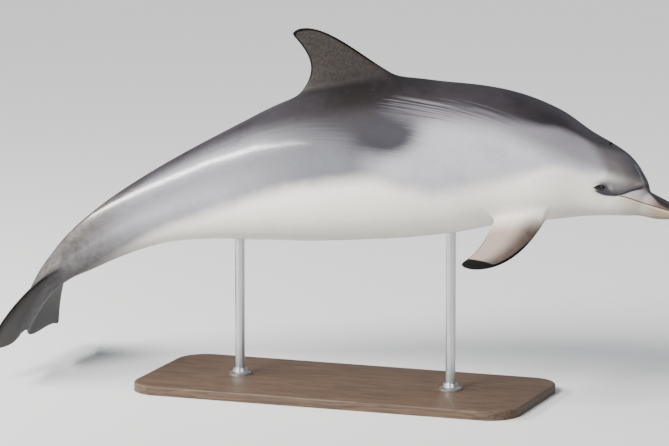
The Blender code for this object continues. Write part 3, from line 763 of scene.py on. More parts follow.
def growBlowhole(skin, boundary):
    distance = skin.value("distance")[boundary]
    points = np.array([skin.points[n] for n in boundary])
    height = skin.value("height")[boundary]
    side = np.where(points[:, 1] > 0, 90 - height, height - 90)  # degrees out from the middle of the back
    side[np.abs(points[:, 1]) < 1e-6] = 0.0
    loops = [list(boundary)]
    total = blowhole["loops"] + 1
    for k in range(1, blowhole["loops"] + 1):
        mixIn = 1 - (1 - k / total) ** blowhole["crowding"]
        place = distance + (blowhole["distance"] - distance) * mixIn
        turned = np.radians(90 - side * (1 - mixIn))
        ring = reliefPoint(place, turned)
        loops.append(skin.add(ring, distance=place, height=heightOf(turned)))
    joinAll(skin, "blowhole", loops, total, False)
    middle = reliefPoint(np.array([blowhole["distance"]]), np.array([math.pi / 2]))[0]
    values = {"distance": blowhole["distance"], "height": 90.0}
    closeLoop(skin, "blowhole", loops[-1], middle, values, (total - 1) / total)


def inPatches(patches, row, column):
    for first, last, middle, spread in patches:
        if first <= row < last and (column - middle + spread) % grid["columns"] < 2 * spread:
            return True
    return False


def buildSkin():
    skin = Skin()
    rings = ringDistances()
    count = grid["columns"]
    nose = skin.add(skinPoint(np.array([0.0]), np.array([math.pi / 2])), distance=0.0, height=14.0)[0]
    rows = []
    for distance in rings:
        angles = columnAngles(distance)
        places = np.full(count, distance)
        rows.append(skin.add(reliefPoint(places, angles), distance=places, height=heightOf(angles)))
    end = fromBody(body["length"] + body["tailPoint"], np.zeros(1), np.zeros(1))
    tail = skin.add(end, distance=body["length"], height=0.0)[0]
    patches = []

    def patchOf(shape, middle):
        first = int(np.argmin(np.abs(rings - shape["patch"][0])))
        last = int(np.argmin(np.abs(rings - shape["patch"][1])))
        patches.append((first, last, middle, shape["spread"]))
        return patchBoundary(rows, first, last, middle, shape["spread"]), last - first

    boundary, long = patchOf(fins["dorsal"], fins["dorsal"]["middle"])
    growFin(skin, "dorsal", 1, boundary, long, fins["dorsal"]["spread"], dorsalSection)
    for hand in (1, -1):
        for name, kind, section in (("flipper", 2, flipperSection), ("fluke", 3, flukeSection)):
            middle = fins[name]["middle"] if hand > 0 else count - fins[name]["middle"]
            boundary, long = patchOf(fins[name], middle)
            growFin(skin, f"{name}{hand}", kind, boundary, long, fins[name]["spread"], section(hand))
        middle = eye["middle"] if hand > 0 else count - eye["middle"]
        boundary, long = patchOf(eye, middle)
        growEye(skin, f"eye{hand}", boundary, hand)
    boundary, long = patchOf(blowhole, count // 2)
    growBlowhole(skin, boundary)

    top = len(rings)
    for i in range(top - 1):
        for c in range(count):
            if inPatches(patches, i, c):
                continue
            after = (c + 1) % count
            corners = (rows[i][c], rows[i + 1][c], rows[i + 1][after], rows[i][after])
            x0, x1 = (i + 1) / (top + 1), (i + 2) / (top + 1)
            y0, y1 = c / count, (c + 1) / count
            places = ((x0, y0), (x1, y0), (x1, y1), (x0, y1))
            skin.face(corners, [onIsland("body", *place) for place in places])
    for c in range(count):
        after = (c + 1) % count
        y0, y1 = c / count, (c + 1) / count
        first, last = 1 / (top + 1), top / (top + 1)
        fan = ((0.0, (y0 + y1) / 2), (first, y0), (first, y1))
        skin.face((nose, rows[0][c], rows[0][after]), [onIsland("body", *place) for place in fan])
        fan = ((last, y0), (1.0, (y0 + y1) / 2), (last, y1))
        skin.face((rows[-1][c], tail, rows[-1][after]), [onIsland("body", *place) for place in fan])
    return skin


# Markings: soft shares from 0 to 1 for each tone, worked out over the body and sharpened in the material.
markings = {
    # distance, lower edge of the dark cape and how softly it ends, in degrees
    "cape": ((0.10, 98, 6), (0.23, 92, 9), (0.26, 83, 9), (0.29, 75, 8), (0.33, 69, 8), (0.38, 66, 7),
             (0.43, 62, 7), (0.50, 52, 7), (0.60, 48, 10), (0.70, 48, 12), (0.80, 49, 13), (0.90, 49, 13),
             (0.955, 43, 12), (1.00, 35, 13), (1.06, 32, 14), (1.12, 34, 15), (1.20, 38, 16), (1.30, 45, 17),
             (1.45, 56, 20), (1.65, 64, 20), (1.85, 60, 26), (2.05, 40, 34), (2.20, 15, 44), (2.50, 0, 50)),
    # the same for the softer grey of the melon, which runs into the cape behind the blowhole
    "melon": ((0.12, 78, 6), (0.158, 66, 6), (0.175, 52, 7), (0.189, 45, 8), (0.204, 42, 8), (0.22, 39, 8),
              (0.235, 36, 9), (0.25, 36, 10), (0.268, 40, 12), (0.285, 47, 13), (0.30, 54, 11), (0.32, 60, 9),
              (0.35, 67, 8), (0.40, 76, 6), (0.50, 90, 6), (2.50, 120, 6)),
    "melonTop": (45, 80),  # heights of its lighter and darker grey
    # lower edge of the upper flank, a little greyer than the rest
    "upper": ((0.10, 60, 10), (0.25, 42, 10), (0.29, 34, 12), (0.33, 31, 14), (0.43, 28, 14), (0.50, 31, 12),
              (0.60, 34, 11), (0.90, 34, 12), (1.10, 20, 20), (2.50, 20, 20)),
    # upper edge of the pale belly
    "pale": ((0.00, 14, 5), (0.10, 14, 5), (0.20, 14, 7), (0.25, 13, 8), (0.31, 19, 8), (0.36, 18, 8),
             (0.40, 16, 8), (0.44, 10, 9), (0.48, 2, 10), (0.54, -10, 12), (0.60, -17, 12), (0.67, -22, 12),
             (0.80, -24, 11), (0.90, -18, 10), (1.00, -10, 10), (1.24, -10, 10), (1.43, -15, 12),
             (1.65, -28, 14), (1.86, -46, 14), (2.08, -72, 14), (2.50, -100, 10)),
    # middle of the pale blaze over the eye, and how strong it is
    "blaze": ((0.14, 76, 0.0), (0.173, 54, 0.02), (0.188, 48, 0.07), (0.200, 42, 0.14), (0.214, 38, 0.22),
              (0.229, 35, 0.28), (0.244, 33, 0.42), (0.260, 30, 0.52), (0.272, 27, 0.70), (0.286, 22, 0.68),
              (0.311, 18, 0.4), (0.34, 12, 0.0), (2.5, 10, 0.0)),
    "blazeHalfWidth": 8,
    # dark spots: distance, height, reach along, reach round, strength. The patch under the dorsal fin is
    # partly a marking and partly painted shadow of the fin.
    "patch": ((0.935, 24, 0.115, 16, 1.40), (1.04, 44, 0.12, 15, 0.85)),
    "dusk": ((1.10, 38, 0.24, 24, 1.0),),
    "apex": ((0.1440, 86, 0.0040, 14, 1.0),),
    "saddle": (1.05, 0.17, (38, 56)),  # distance, reach along, lower edge
    "tailStart": (1.80, 2.14),
    # how wide the dark lore is above the bridle line
    "lore": ((0.14, 0.006), (0.165, 0.010), (0.18, 0.021), (0.21, 0.020), (0.235, 0.021), (0.250, 0.030),
             (0.270, 0.036), (2.50, 0.036)),
    "loreStart": (-0.003, 0.003),
    "loreEdge": (0.4, 1.3),
    "loreRun": (0.150, 0.268, 0.008),
    "bridleRun": (0.1475, 0.276, 0.008),
    "faceEdge": (-0.002, 0.008),
    # how far the pale edging lies from the dark stripe between the beak and the blowhole. The edging is
    # partly a pale line beside the stripe and partly a painted highlight along the melon.
    "paleEdgingAndHighlight": ((0.14, 0.027), (0.158, 0.023), (0.170, 0.0185), (0.182, 0.0125), (0.20, 0.009)),
    # half width, start, end, softness of each band
    "stripeBand": (0.0085, 0.148, 0.270, 0.010),
    "paleEdgingAndHighlightBand": (0.0050, 0.152, 0.205, 0.006),
    "eyeCornerBand": (0.0026, 0.012, 0.022, 0.003),
    "eyeCornerStrength": 0.9,
    # the blowhole's slit is painted black: painted shade in the groove
    "slitHalfWidth": 0.0024,
    # lower edge of the dark top of the beak
    "beakCap": ((0.000, 16), (0.030, 18), (0.061, 24), (0.082, 32), (0.096, 42), (0.109, 52), (0.120, 62),
                (0.131, 75), (0.145, 84)),
    "beakCapSoftness": 12,
    "beakSideSlant": (14, 0.0008),  # height from which the side's end leans forward, and how much per degree
    # distances between which these fade out
    "ends": {
        "beakTip": (0.080, 0.128), "beakSide": (0.120, 0.235), "beakCap": (0.134, 0.146),
        "lips": (0.194, 0.208), "face": (0.245, 0.276), "cheek": (0.33, 0.50), "head": (0.33, 0.36),
    },
    "eyeRingEdge": (0.0012, 0.0050),
    "socket": (0.008, -0.001, 0.023, 0.018),  # ahead of the eye, above it, half length, half height
    "creases": (0.35, 0.0034, 0.0100),  # slant, half width, half length of the painted highlight along the folds ahead of the eye
    # for the body, the dorsal fin, the flippers and the flukes: where the fin's tone starts and is full,
    # width of the dark leading edge, what it gains towards the tip and between which shares of the span,
    # width of the trailing edge, start of the dark tip and its slant, end of the root's fade. The dark
    # edge lines are painted shade along the fins' rounded edges; the dark tips are the fins' own colour.
    "finEdges": (
        (0.05, 0.26, 0.0054, 0.0110, 0.72, 1.0, 0.0085, 2.000, 0.00, 0.30),
        (0.05, 0.26, 0.0054, 0.0110, 0.72, 1.0, 0.0085, 0.945, 0.00, 0.30),
        (0.00, 0.12, 0.0014, 0.0056, 0.30, 0.9, 0.0034, 0.835, 0.10, 0.55),
        (0.05, 0.26, 0.0014, 0.0000, 0.72, 1.0, 0.0036, 2.000, 0.00, 0.30),
    ),
    "finEdgeSharpness": 1.25,
    "finTipSoftness": 0.020,
    "finRootStart": 0.10,
    "finDarkLimit": 1.5,
    "bodyDark": -4.5,
    "flipperShade": (0.95, (0.08, 0.55), (0.02, 0.35)),  # strength, fades from the edge and from the root
}


def markSkin(skin):
    distance, height, kind, span, edge, share = (
        skin.value(name) for name in ("distance", "height", "kind", "span", "edge", "share")
    )

    def before(name, place=distance):
        return 1 - smoothStep(*markings["ends"][name], place)

    def band(name, off, place):
        halfWidth, *run = markings[name]
        return hump(off, halfWidth) * window(place, *run)

    def above(name):
        line = smoothTable(markings[name], 1, distance)
        return np.clip(0.5 + (height - line) / 2 / smoothTable(markings[name], 2, distance), -2, 3)

    radius = sectionRadius(distance, np.radians(height))
    lowMelon, topMelon = markings["melonTop"]
    saddle, saddleReach, saddleEdge = markings["saddle"]
    blazeOff = height - smoothTable(markings["blaze"], 1, distance)
    bridleOff = bridleOffset(distance, height, radius)
    lore = 1 - smoothStep(*markings["loreEdge"], bridleOff / smoothTable(markings["lore"], 1, distance))
    lore = lore * smoothStep(*markings["loreStart"], bridleOff) * window(distance, *markings["loreRun"])
    spine = np.radians(90 - height) * radius
    _, _, arc, along = blowholePlace(distance, height, radius)
    capEdge = height - smoothTable(markings["beakCap"], 1, distance)
    capSoftness = markings["beakCapSoftness"]
    sideTop, sideSlant = markings["beakSideSlant"]

    u, v = eyePlace(distance, height)
    gap = np.hypot(u, v) - np.hypot(*eyeEdge(eyeTurn(u, v)))
    corner = markings["eyeCornerStrength"] * band("eyeCornerBand", v, -u)
    ring = np.maximum(1 - smoothStep(*markings["eyeRingEdge"], gap), corner)
    ahead, level, halfLength, halfHeight = markings["socket"]
    socket = hump(u - ahead, halfLength) * hump(v - level, halfHeight)
    # painted highlight along the folds ahead of the eye
    slant, halfWidth, halfLength = markings["creases"]
    foldHighlights = sum(hump(u + slant * v - place, halfWidth) for place in eye["creases"]) * hump(v, halfLength)

    table = np.array(markings["finEdges"])[kind.astype(int)].T
    toneStart, toneFull, leading, gain, gainStart, gainEnd, trailing, tip, slant, fadeEnd = table
    onFin = smoothStep(toneStart, toneFull, span) * (kind > 0)
    reach = np.where(share < 0.5, leading + gain * smoothStep(gainStart, gainEnd, span), trailing)
    tipLine = tip + slant * (share - 0.5)
    dark = 1 - markings["finEdgeSharpness"] * edge / reach
    limit = markings["finDarkLimit"]
    dark = np.clip(np.maximum(dark, (span - tipLine) / markings["finTipSoftness"]), -limit, limit)
    dark = dark - 2 * limit * (1 - smoothStep(markings["finRootStart"], fadeEnd, span))
    shade, fromEdge, fromRoot = markings["flipperShade"]
    shade = shade * (1 - smoothStep(*fromEdge, share)) * smoothStep(*fromRoot, span)
    return {
        "cape": above("cape"),
        "pale": 1 - above("pale"),
        "melon": above("melon"),
        "upper": above("upper"),
        "melonTop": np.clip((height - lowMelon) / (topMelon - lowMelon), 0, 1),
        "patch": spots(markings["patch"], distance, height),
        "dusk": spots(markings["dusk"], distance, height),
        "apex": spots(markings["apex"], distance, height),
        "saddle": hump(distance - saddle, saddleReach) * smoothStep(*saddleEdge, height),
        "blaze": smoothTable(markings["blaze"], 2, distance) * hump(blazeOff, markings["blazeHalfWidth"]),
        "face": smoothStep(*markings["faceEdge"], bridleOff) * before("face"),
        "lore": lore,
        "stripe": band("stripeBand", spine, distance),
        "paleEdgingAndHighlight": band("paleEdgingAndHighlightBand", spine - smoothTable(markings["paleEdgingAndHighlight"], 1, distance), distance),
        "bridleOff": bridleOff * 100,
        "bridleEnds": window(distance, *markings["bridleRun"]),
        "lipOff": mouthOffset(distance, np.radians(height), radius) * 100,
        "lipEnds": before("lips"),
        "beakCap": smoothStep(-capSoftness, capSoftness, capEdge) * before("beakCap"),
        "beakSide": before("beakSide", distance + sideSlant * np.maximum(height - sideTop, 0)),
        "beakTip": before("beakTip"),
        "cheek": before("cheek"),
        "slit": np.sqrt(along) * hump(arc, markings["slitHalfWidth"]),
        "eyeRing": ring * before("head"),
        "socket": socket * before("head"),
        "foldHighlights": foldHighlights * before("head"),
        "darkEdgeShadeAndTips": np.where(kind > 0, dark, markings["bodyDark"]),
        "finShade": shade * (kind == 2),
        "onDorsal": onFin * (kind == 1),
        "onFlipper": onFin * (kind == 2),
        "onFluke": onFin * (kind == 3),
        "tailGrey": smoothStep(*markings["tailStart"], distance) * (kind != 1) * (kind != 2),
        "along": distance,
        "round": height / 90,
        "spanShare": span,
    }


def addObject(name, data, material=None):
    obj = bpy.data.objects.new(name, data)
    if material:
        data.materials.append(material)
    bpy.context.scene.collection.objects.link(obj)
    return obj


def skinObject(skin, material):
    mesh = bpy.data.meshes.new("skin")
    mesh.from_pydata([tuple(p) for p in skin.points], [], skin.faces)
    layer = mesh.uv_layers.new(name="OFBake")
    flat = [coordinate for places in skin.places for place in places for coordinate in place]
    layer.data.foreach_set("uv", np.array(flat, np.float32))
    for name, values in markSkin(skin).items():
        mesh.attributes.new(name, "FLOAT", "POINT").data.foreach_set("value", values.astype(np.float32))
    shape = bmesh.new()
    shape.from_mesh(mesh)
    bmesh.ops.recalc_face_normals(shape, faces=shape.faces)
    shape.to_mesh(mesh)
    shape.free()
    mesh.shade_smooth()
    return addObject("dolphinSkin", mesh, material)


# Builds the nodes of one tree. An input may be a plain value or another node's output.
class Nodes:
    def __init__(self, tree):
        self.tree = tree

    def give(self, node, inputs):
        for key, value in inputs.items():
            if isinstance(value, bpy.types.NodeSocket):
                self.tree.links.new(value, node.inputs[key])
            else:
                node.inputs[key].default_value = value

    def add(self, kind, inputs=None, **settings):
        node = self.tree.nodes.new(kind)
        for name, value in settings.items():
            setattr(node, name, value)
        self.give(node, inputs or {})
        return node

    def shade(self, inputs):
        self.give(self.tree.nodes["Principled BSDF"], inputs)

    def calc(self, operation, *values):
        return self.add("ShaderNodeMath", dict(enumerate(values)), operation=operation).outputs[0]

    def times(self, first, second):
        return self.calc("MULTIPLY", first, second)

    def timesPlus(self, value, factor, added):
        return self.calc("MULTIPLY_ADD", value, factor, added)

    def wobbled(self, value, source, amount):
        return self.timesPlus(self.calc("SUBTRACT", source, 0.5), amount, value)

    def mix(self, share, first, second):
        inputs = {0: share, 6: first, 7: second}
        return self.add("ShaderNodeMix", inputs, data_type="RGBA").outputs[2]

    def spread(self, value, low, high, start=0.0, end=1.0):
        inputs = {"Value": value, "From Min": low, "From Max": high, "To Min": start, "To Max": end}
        return self.add("ShaderNodeMapRange", inputs, interpolation_type="SMOOTHSTEP").outputs[0]

    def read(self, name):
        return self.add("ShaderNodeAttribute", attribute_name=name).outputs["Fac"]

    def objectPlace(self):
        return self.add("ShaderNodeTexCoord").outputs["Object"]

    def stretched(self, place, scale):
        return self.add("ShaderNodeMapping", {"Vector": place, "Scale": scale}).outputs[0]

    def vector(self, x, y=0.0, z=0.0):
        return self.add("ShaderNodeCombineXYZ", {"X": x, "Y": y, "Z": z}).outputs[0]

    def noise(self, vector, scale, detail=3.0, roughness=0.55):
        inputs = {"Vector": vector, "Scale": scale, "Detail": detail, "Roughness": roughness}
        return self.add("ShaderNodeTexNoise", inputs).outputs["Fac"]

    def bump(self, strength, distance, height):
        inputs = {"Strength": strength, "Distance": distance, "Height": height}
        return self.add("ShaderNodeBump", inputs).outputs["Normal"]


def tone(red, green, blue):
    # display values from 0 to 255 turned into the linear ones that a shader takes
    shares = [value / 255 for value in (red, green, blue)]
    return (*[v / 12.92 if v <= 0.04 else ((v + 0.055) / 1.055) ** 2.4 for v in shares], 1.0)


def newMaterial(name):
    material = bpy.data.materials.new(name)
    material.use_nodes = True
    return material, Nodes(material.node_tree)


skinTones = {
    "cape": (34, 31, 35),
    "capeFar": (46, 43, 47),
    "saddle": (20, 17, 18),
    "flank": (150, 149, 157),
    "flankLight": (164, 163, 168),
    "upper": (108, 106, 112),
    "rear": (96, 97, 103),
    "pale": (224, 220, 212),
    "cheek": (194, 189, 183),
    # dark patch under the dorsal fin: partly a marking, partly painted shadow of the fin
    "patch": (32, 32, 39),
    "dusk": (72, 72, 78),
    "melon": (62, 60, 65),
    "melonLow": (84, 79, 80),
    "stripe": (44, 46, 54),
    "blaze": (196, 191, 188),
    "face": (90, 88, 91),
    "lore": (54, 53, 58),
    # pale edging beside the melon stripe, partly a painted highlight
    "paleEdgingAndHighlight": (160, 160, 162),
    "line": (22, 27, 36),
    "beakCap": (40, 35, 38),
    "beakSide": (160, 148, 145),
    "beakTip": (88, 76, 72),
    "jaw": (156, 149, 138),
    "jawTip": (134, 120, 106),
    "lip": (92, 76, 48),
    "lipRim": (182, 170, 144),
    "socket": (50, 47, 49),
    "eyeRing": (30, 29, 32),
    "dorsal": (45, 41, 39),
    "dorsalDark": (34, 31, 30),
    "flipper": (140, 128, 118),
    "flipperRoot": (206, 200, 192),
    "flipperShade": (66, 55, 51),
    "fluke": (40, 38, 38),
    "flukeLight": (54, 51, 50),
    # black: the fins' dark tips, also used for painted shade along the fin edges and in the blowhole slit
    "black": (3, 3, 3),
    "tail": (82, 79, 77),
    "tailDark": (54, 51, 50),
    "scar": (74, 72, 76),
}

# How the tones are laid on. A row's mark is one of markSkin's, a noise or a zone. After it come the values
# between which it fades in, or none for a plain share, and the noises that break it up, with how much.
skinPaint = {
    # name, scale, detail and roughness of each noise
    "noises": (
        ("cloud", 7.0, 4.0, 0.55), ("mottle", 42.0, 3.0, 0.6),
        ("fine", 110.0, 3.0, 0.65), ("speck", 260.0, 2.0, 0.6),
    ),
    # streaks that flow back from the head, and the stretch where they break the cape's edge
    "flow": {"along": 2.6, "around": 42.0, "slant": -20.0, "noise": (1.6, 4.0, 0.55)},
    "streakZone": {"rise": (0.52, 0.80), "fall": (1.06, 0.92), "least": 0.5, "gain": 2.2},
    "rearZone": {"rise": (0.90, 1.06), "fall": (1.60, 1.18, 0.55, 1.0)},
    # fine rake marks along the trunk, and freckles
    "scars": {"along": 13.0, "around": 300.0, "slant": 90.0, "marks": (0.70, 0.76), "patches": (0.55, 0.64),
              "patchScale": 6.0, "rise": (1.10, 1.25), "offFins": (0.02, 0.0)},
    "freckles": {"scale": 75.0, "edges": (0.72, 0.76)},
    # thin lines, from the distance to them in centimetres: name, distance, ends, middle, half width
    "lines": (
        ("lipRimLine", "lipOff", "lipEnds", -0.45, 0.50),
        ("lipLine", "lipOff", "lipEnds", 0.0, 0.26),
        ("bridleSoft", "bridleOff", "bridleEnds", 0.35, 0.85),
        ("bridleLine", "bridleOff", "bridleEnds", -0.10, 0.55),
    ),
    "lineWobble": 0.12,
    "lineCore": 0.25,
    # blended tones: name, first tone, second tone, the mark that shares them out
    "blends": (
        ("flankPaint", "flank", "flankLight", "cloud", (0.35, 0.65)),
        ("palePaint", "pale", "cheek", "cheek", None),
        ("melonPaint", "melonLow", "melon", "melonTop", None, ("cloud", 0.8)),
        ("capePaint", "cape", "capeFar", "cloud", (0.3, 0.7)),
        ("capePaint", "capePaint", "saddle", "saddle", None),
        ("tailPaint", "tail", "tailDark", "mottle", (0.3, 0.7)),
        ("upperBeakPaint", "beakSide", "beakTip", "beakTip", None),
        ("lowerBeakPaint", "jaw", "jawTip", "beakTip", None),
        ("beakPaint", "upperBeakPaint", "lowerBeakPaint", "lipOff", (0.2, -0.2)),
        ("dorsalPaint", "dorsalDark", "dorsal", "fine", (0.36, 0.64)),
        ("flipperPaint", "flipperRoot", "flipper", "spanShare", (0.08, 0.44)),
        ("flukePaint", "fluke", "flukeLight", "mottle", (0.3, 0.7)),
    ),
    # layers over the flank from the first to the last: strength, tone, mark
    "layers": (
        (1.0, "upper", "upper", (0.0, 1.0), ("cloud", 0.6)),
        (1.0, "rear", "rearZone", None),
        (1.0, "palePaint", "pale", (0.02, 0.98), ("cloud", 0.5)),
        (1.0, "face", "face", (0.0, 1.0), ("cloud", 0.3)),
        (1.0, "melonPaint", "melon", (0.0, 1.0), ("cloud", 0.6)),
        (1.0, "blaze", "blaze", None, ("mottle", 0.10)),
        (0.92, "lore", "lore", (0.0, 1.0), ("mottle", 0.4)),
        (0.75, "dusk", "dusk", (0.0, 1.0), ("cloud", 0.3)),
        # the patch under the dorsal fin, partly a marking and partly painted shadow of the fin
        (0.97, "patch", "patch", (-0.05, 1.15), ("streak", 0.45), ("cloud", 0.5)),
        (0.75, "stripe", "stripe", None),
        # pale edging along the melon: partly a marking, partly a painted highlight
        (0.32, "paleEdgingAndHighlight", "paleEdgingAndHighlight", None),
        (1.0, "capePaint", "cape", (0.05, 0.95), ("streak", "streakZone")),
        (0.8, "tailPaint", "tailGrey", None),
        (1.0, "beakPaint", "beakSide", None),
        (1.0, "beakCap", "beakCap", (0.05, 0.95), ("mottle", 0.35)),
        (0.5, "lipRim", "lipRimLine", None),
        (0.95, "lip", "lipLine", None),
        (0.45, "line", "bridleSoft", None),
        (0.92, "line", "bridleLine", None),
        (0.95, "line", "apex", None),
        # painted shade: black in the blowhole's slit
        (0.75, "black", "slit", None),
        (0.92, "socket", "socket", None),
        # painted highlight on the folds ahead of the eye, in the blaze's pale tone
        (0.16, "blaze", "foldHighlights", None),
        (0.97, "eyeRing", "eyeRing", (0.0, 1.0), ("mottle", 0.15)),
        (1.0, "dorsalPaint", "onDorsal", None),
        (1.0, "flipperPaint", "onFlipper", None),
        (1.0, "flipperShade", "finShade", None, ("mottle", 0.3)),
        (1.0, "flukePaint", "onFluke", None),
        # dark fin tips, and painted shade along the fins' leading and trailing edges
        (1.0, "black", "darkEdgeShadeAndTips", (-0.3, 0.4), ("fine", 0.9)),
        (0.45, "scar", "scars", None),
        (0.16, "melon", "freckles", None),
    ),
    # noises that lighten and darken everything a little
    "grain": (("streak", 0.22), ("mottle", 0.14), ("fine", 0.12), ("speck", 0.10)),
    # roughness, and what each mark adds to it
    "roughness": 0.56,
    "roughnessLayers": (
        (0.14, "saddle", None),
        (0.10, "onDorsal", (0.0, 0.1)),
        (-0.26, "along", (1.10, 1.45)),
        (0.22, "along", (2.05, 2.25)),
        (0.20, "darkEdgeShadeAndTips", (-0.3, 0.4)),
    ),
    "roughnessWobble": 0.16,
    # wet coat, and the marks that it is kept to
    "coat": 0.40,
    "coatMarks": (("along", (1.06, 1.50)), ("along", (2.16, 2.00)), ("spanShare", (0.10, 0.0))),
    "coatBreakUp": (0.35, 0.65, 0.5, 1.3),
    "coatRoughness": 0.15,
    "bump": {"strength": 0.32, "distance": 0.003, "specks": 0.5,
             "front": 0.3, "gain": 0.7, "rise": (0.95, 1.7)},
    "ior": 1.34,
    "specular": 0.22,
}


def makeSkinMaterial():
    material, nodes = newMaterial("dolphinSkin")
    paint = skinPaint
    tones = {name: tone(*value) for name, value in skinTones.items()}
    place = nodes.objectPlace()
    along = nodes.read("along")
    around = nodes.read("round")
    marks = {name: nodes.noise(place, *values) for name, *values in paint["noises"]}

    def flowing(stretch):
        slanted = nodes.timesPlus(around, stretch["around"], nodes.times(along, stretch["slant"]))
        return nodes.vector(nodes.times(along, stretch["along"]), slanted)

    def share(mark, edges, *wobbles):
        value = marks[mark] if mark in marks else nodes.read(mark)
        for source, amount in wobbles:
            value = nodes.wobbled(value, marks[source], marks.get(amount, amount))
        return nodes.spread(value, *edges) if edges else value

    marks["streak"] = nodes.noise(flowing(paint["flow"]), *paint["flow"]["noise"])
    zone = paint["streakZone"]
    inZone = nodes.times(nodes.spread(along, *zone["rise"]), nodes.spread(along, *zone["fall"]))
    marks["streakZone"] = nodes.timesPlus(inZone, zone["gain"], zone["least"])
    zone = paint["rearZone"]
    marks["rearZone"] = nodes.times(nodes.spread(along, *zone["rise"]), nodes.spread(along, *zone["fall"]))
    for name, distance, ends, middle, halfWidth in paint["lines"]:
        off = nodes.calc("SUBTRACT", nodes.read(distance), middle)
        off = nodes.calc("ABSOLUTE", nodes.wobbled(off, marks["fine"], paint["lineWobble"]))
        near = nodes.spread(off, halfWidth, halfWidth * paint["lineCore"])
        marks[name] = nodes.times(near, nodes.read(ends))
    scars = paint["scars"]
    rakes = nodes.spread(nodes.noise(flowing(scars), 1.0, 1.0), *scars["marks"])
    patches = nodes.spread(nodes.noise(place, scars["patchScale"], 1.0), *scars["patches"])
    trunk = nodes.times(nodes.spread(along, *scars["rise"]), share("spanShare", scars["offFins"]))
    marks["scars"] = nodes.times(nodes.times(rakes, patches), trunk)
    freckles = paint["freckles"]
    marks["freckles"] = nodes.spread(nodes.noise(place, freckles["scale"], 1.0), *freckles["edges"])

    for name, first, second, *where in paint["blends"]:
        tones[name] = nodes.mix(share(*where), tones[first], tones[second])
    colour = tones["flankPaint"]
    for strength, name, *where in paint["layers"]:
        colour = nodes.mix(nodes.times(share(*where), strength), colour, tones[name])
    grain = 1.0
    for source, amount in paint["grain"]:
        grain = nodes.times(nodes.wobbled(1.0, marks[source], amount), grain)
    colour = nodes.add("ShaderNodeHueSaturation", {"Value": grain, "Color": colour}).outputs["Color"]

    rough = paint["roughness"]
    for amount, mark, edges in paint["roughnessLayers"]:
        rough = nodes.timesPlus(share(mark, edges), amount, rough)
    coat = paint["coat"]
    for mark, edges in paint["coatMarks"]:
        coat = nodes.times(share(mark, edges), coat)
    bump = paint["bump"]
    wet = nodes.timesPlus(nodes.spread(along, *bump["rise"]), bump["gain"], bump["front"])
    height = nodes.times(nodes.timesPlus(marks["speck"], bump["specks"], marks["fine"]), wet)
    nodes.shade({
        "Base Color": colour,
        "Roughness": nodes.wobbled(rough, marks["mottle"], paint["roughnessWobble"]),
        "Normal": nodes.bump(bump["strength"], bump["distance"], height),
        "Coat Weight": nodes.times(coat, nodes.spread(marks["speck"], *paint["coatBreakUp"])),
        "Coat Roughness": paint["coatRoughness"],
        "IOR": paint["ior"],
        "Specular IOR Level": paint["specular"],
    })
    return material


eyeLook = {
    "segments": 64,
    "rings": 40,
    "iris": (20, 13, 9),
    "irisEdge": (6, 5, 5),
    "white": (15, 12, 11),
    "pupil": (3, 3, 4),
    "fibres": (5.0, 4.0),
    "pupilFlatness": 1.9,
    # radius where each part ends and the next is full, as shares of the ball
    "pupilEnd": (0.24, 0.30),
    "irisEnd": (0.50, 0.58),
    "rimEnd": (0.60, 0.72),
    "surface": {"Roughness": 0.12, "IOR": 1.30, "Coat Weight": 0.20, "Coat Roughness": 0.03},
}


def makeEyeMaterial():
    material, nodes = newMaterial("eyeWet")
    across = nodes.read("across")
    up = nodes.read("up")

    def radius(tall):
        squares = nodes.calc("ADD", nodes.times(across, across), nodes.times(tall, tall))
        return nodes.calc("SQRT", squares)

    turns, scale = eyeLook["fibres"]
    fibre = nodes.noise(nodes.vector(nodes.times(nodes.calc("ARCTAN2", up, across), turns)), scale)
    tones = {name: tone(*eyeLook[name]) for name in ("iris", "irisEdge", "white", "pupil")}
    colour = nodes.mix(fibre, tones["irisEdge"], tones["iris"])
    pupil = nodes.spread(radius(nodes.times(up, eyeLook["pupilFlatness"])), *eyeLook["pupilEnd"])
    colour = nodes.mix(pupil, tones["pupil"], colour)
    for end, name in (("irisEnd", "irisEdge"), ("rimEnd", "white")):
        colour = nodes.mix(nodes.spread(radius(up), *eyeLook[end]), colour, tones[name])
    nodes.shade({"Base Color": colour, **eyeLook["surface"]})
    return material


def makeEyeball(hand, material):
    angle = np.array([angleOf(eye["height"], hand)])
    place = np.array([eye["distance"]])
    point = skinPoint(place, angle)[0]
    out = skinNormals(place, angle)[0]
    slope = float(np.interp(eye["distance"], axis[0], axis[3]))
    forward = np.array([math.cos(slope), 0.0, math.sin(slope)])
    forward = forward - (forward @ out) * out
    forward = forward / np.linalg.norm(forward)
    upward = np.cross(out, forward) * hand
    turn = math.radians(eye["tilt"])
    forward, upward = (
        forward * math.cos(turn) + upward * math.sin(turn),
        upward * math.cos(turn) - forward * math.sin(turn),
    )
    shape = bmesh.new()
    bmesh.ops.create_uvsphere(shape, u_segments=eyeLook["segments"], v_segments=eyeLook["rings"], radius=1.0)
    mesh = bpy.data.meshes.new("eyeball")
    local = np.array([vertex.co for vertex in shape.verts])
    world = point - out * eye["sink"]
    for i, (size, direction) in enumerate(zip(eye["halfSizes"], (forward, upward, out))):
        world = world + local[:, i : i + 1] * size * direction
    for vertex, spot in zip(shape.verts, world):
        vertex.co = spot
    bmesh.ops.recalc_face_normals(shape, faces=shape.faces)
    shape.to_mesh(mesh)
    shape.free()
    mesh.attributes.new("across", "FLOAT", "POINT").data.foreach_set("value", local[:, 0].astype(np.float32))
    mesh.attributes.new("up", "FLOAT", "POINT").data.foreach_set("value", local[:, 1].astype(np.float32))
    mesh.shade_smooth()
    return addObject("eyeLeft" if hand > 0 else "eyeRight", mesh, material)


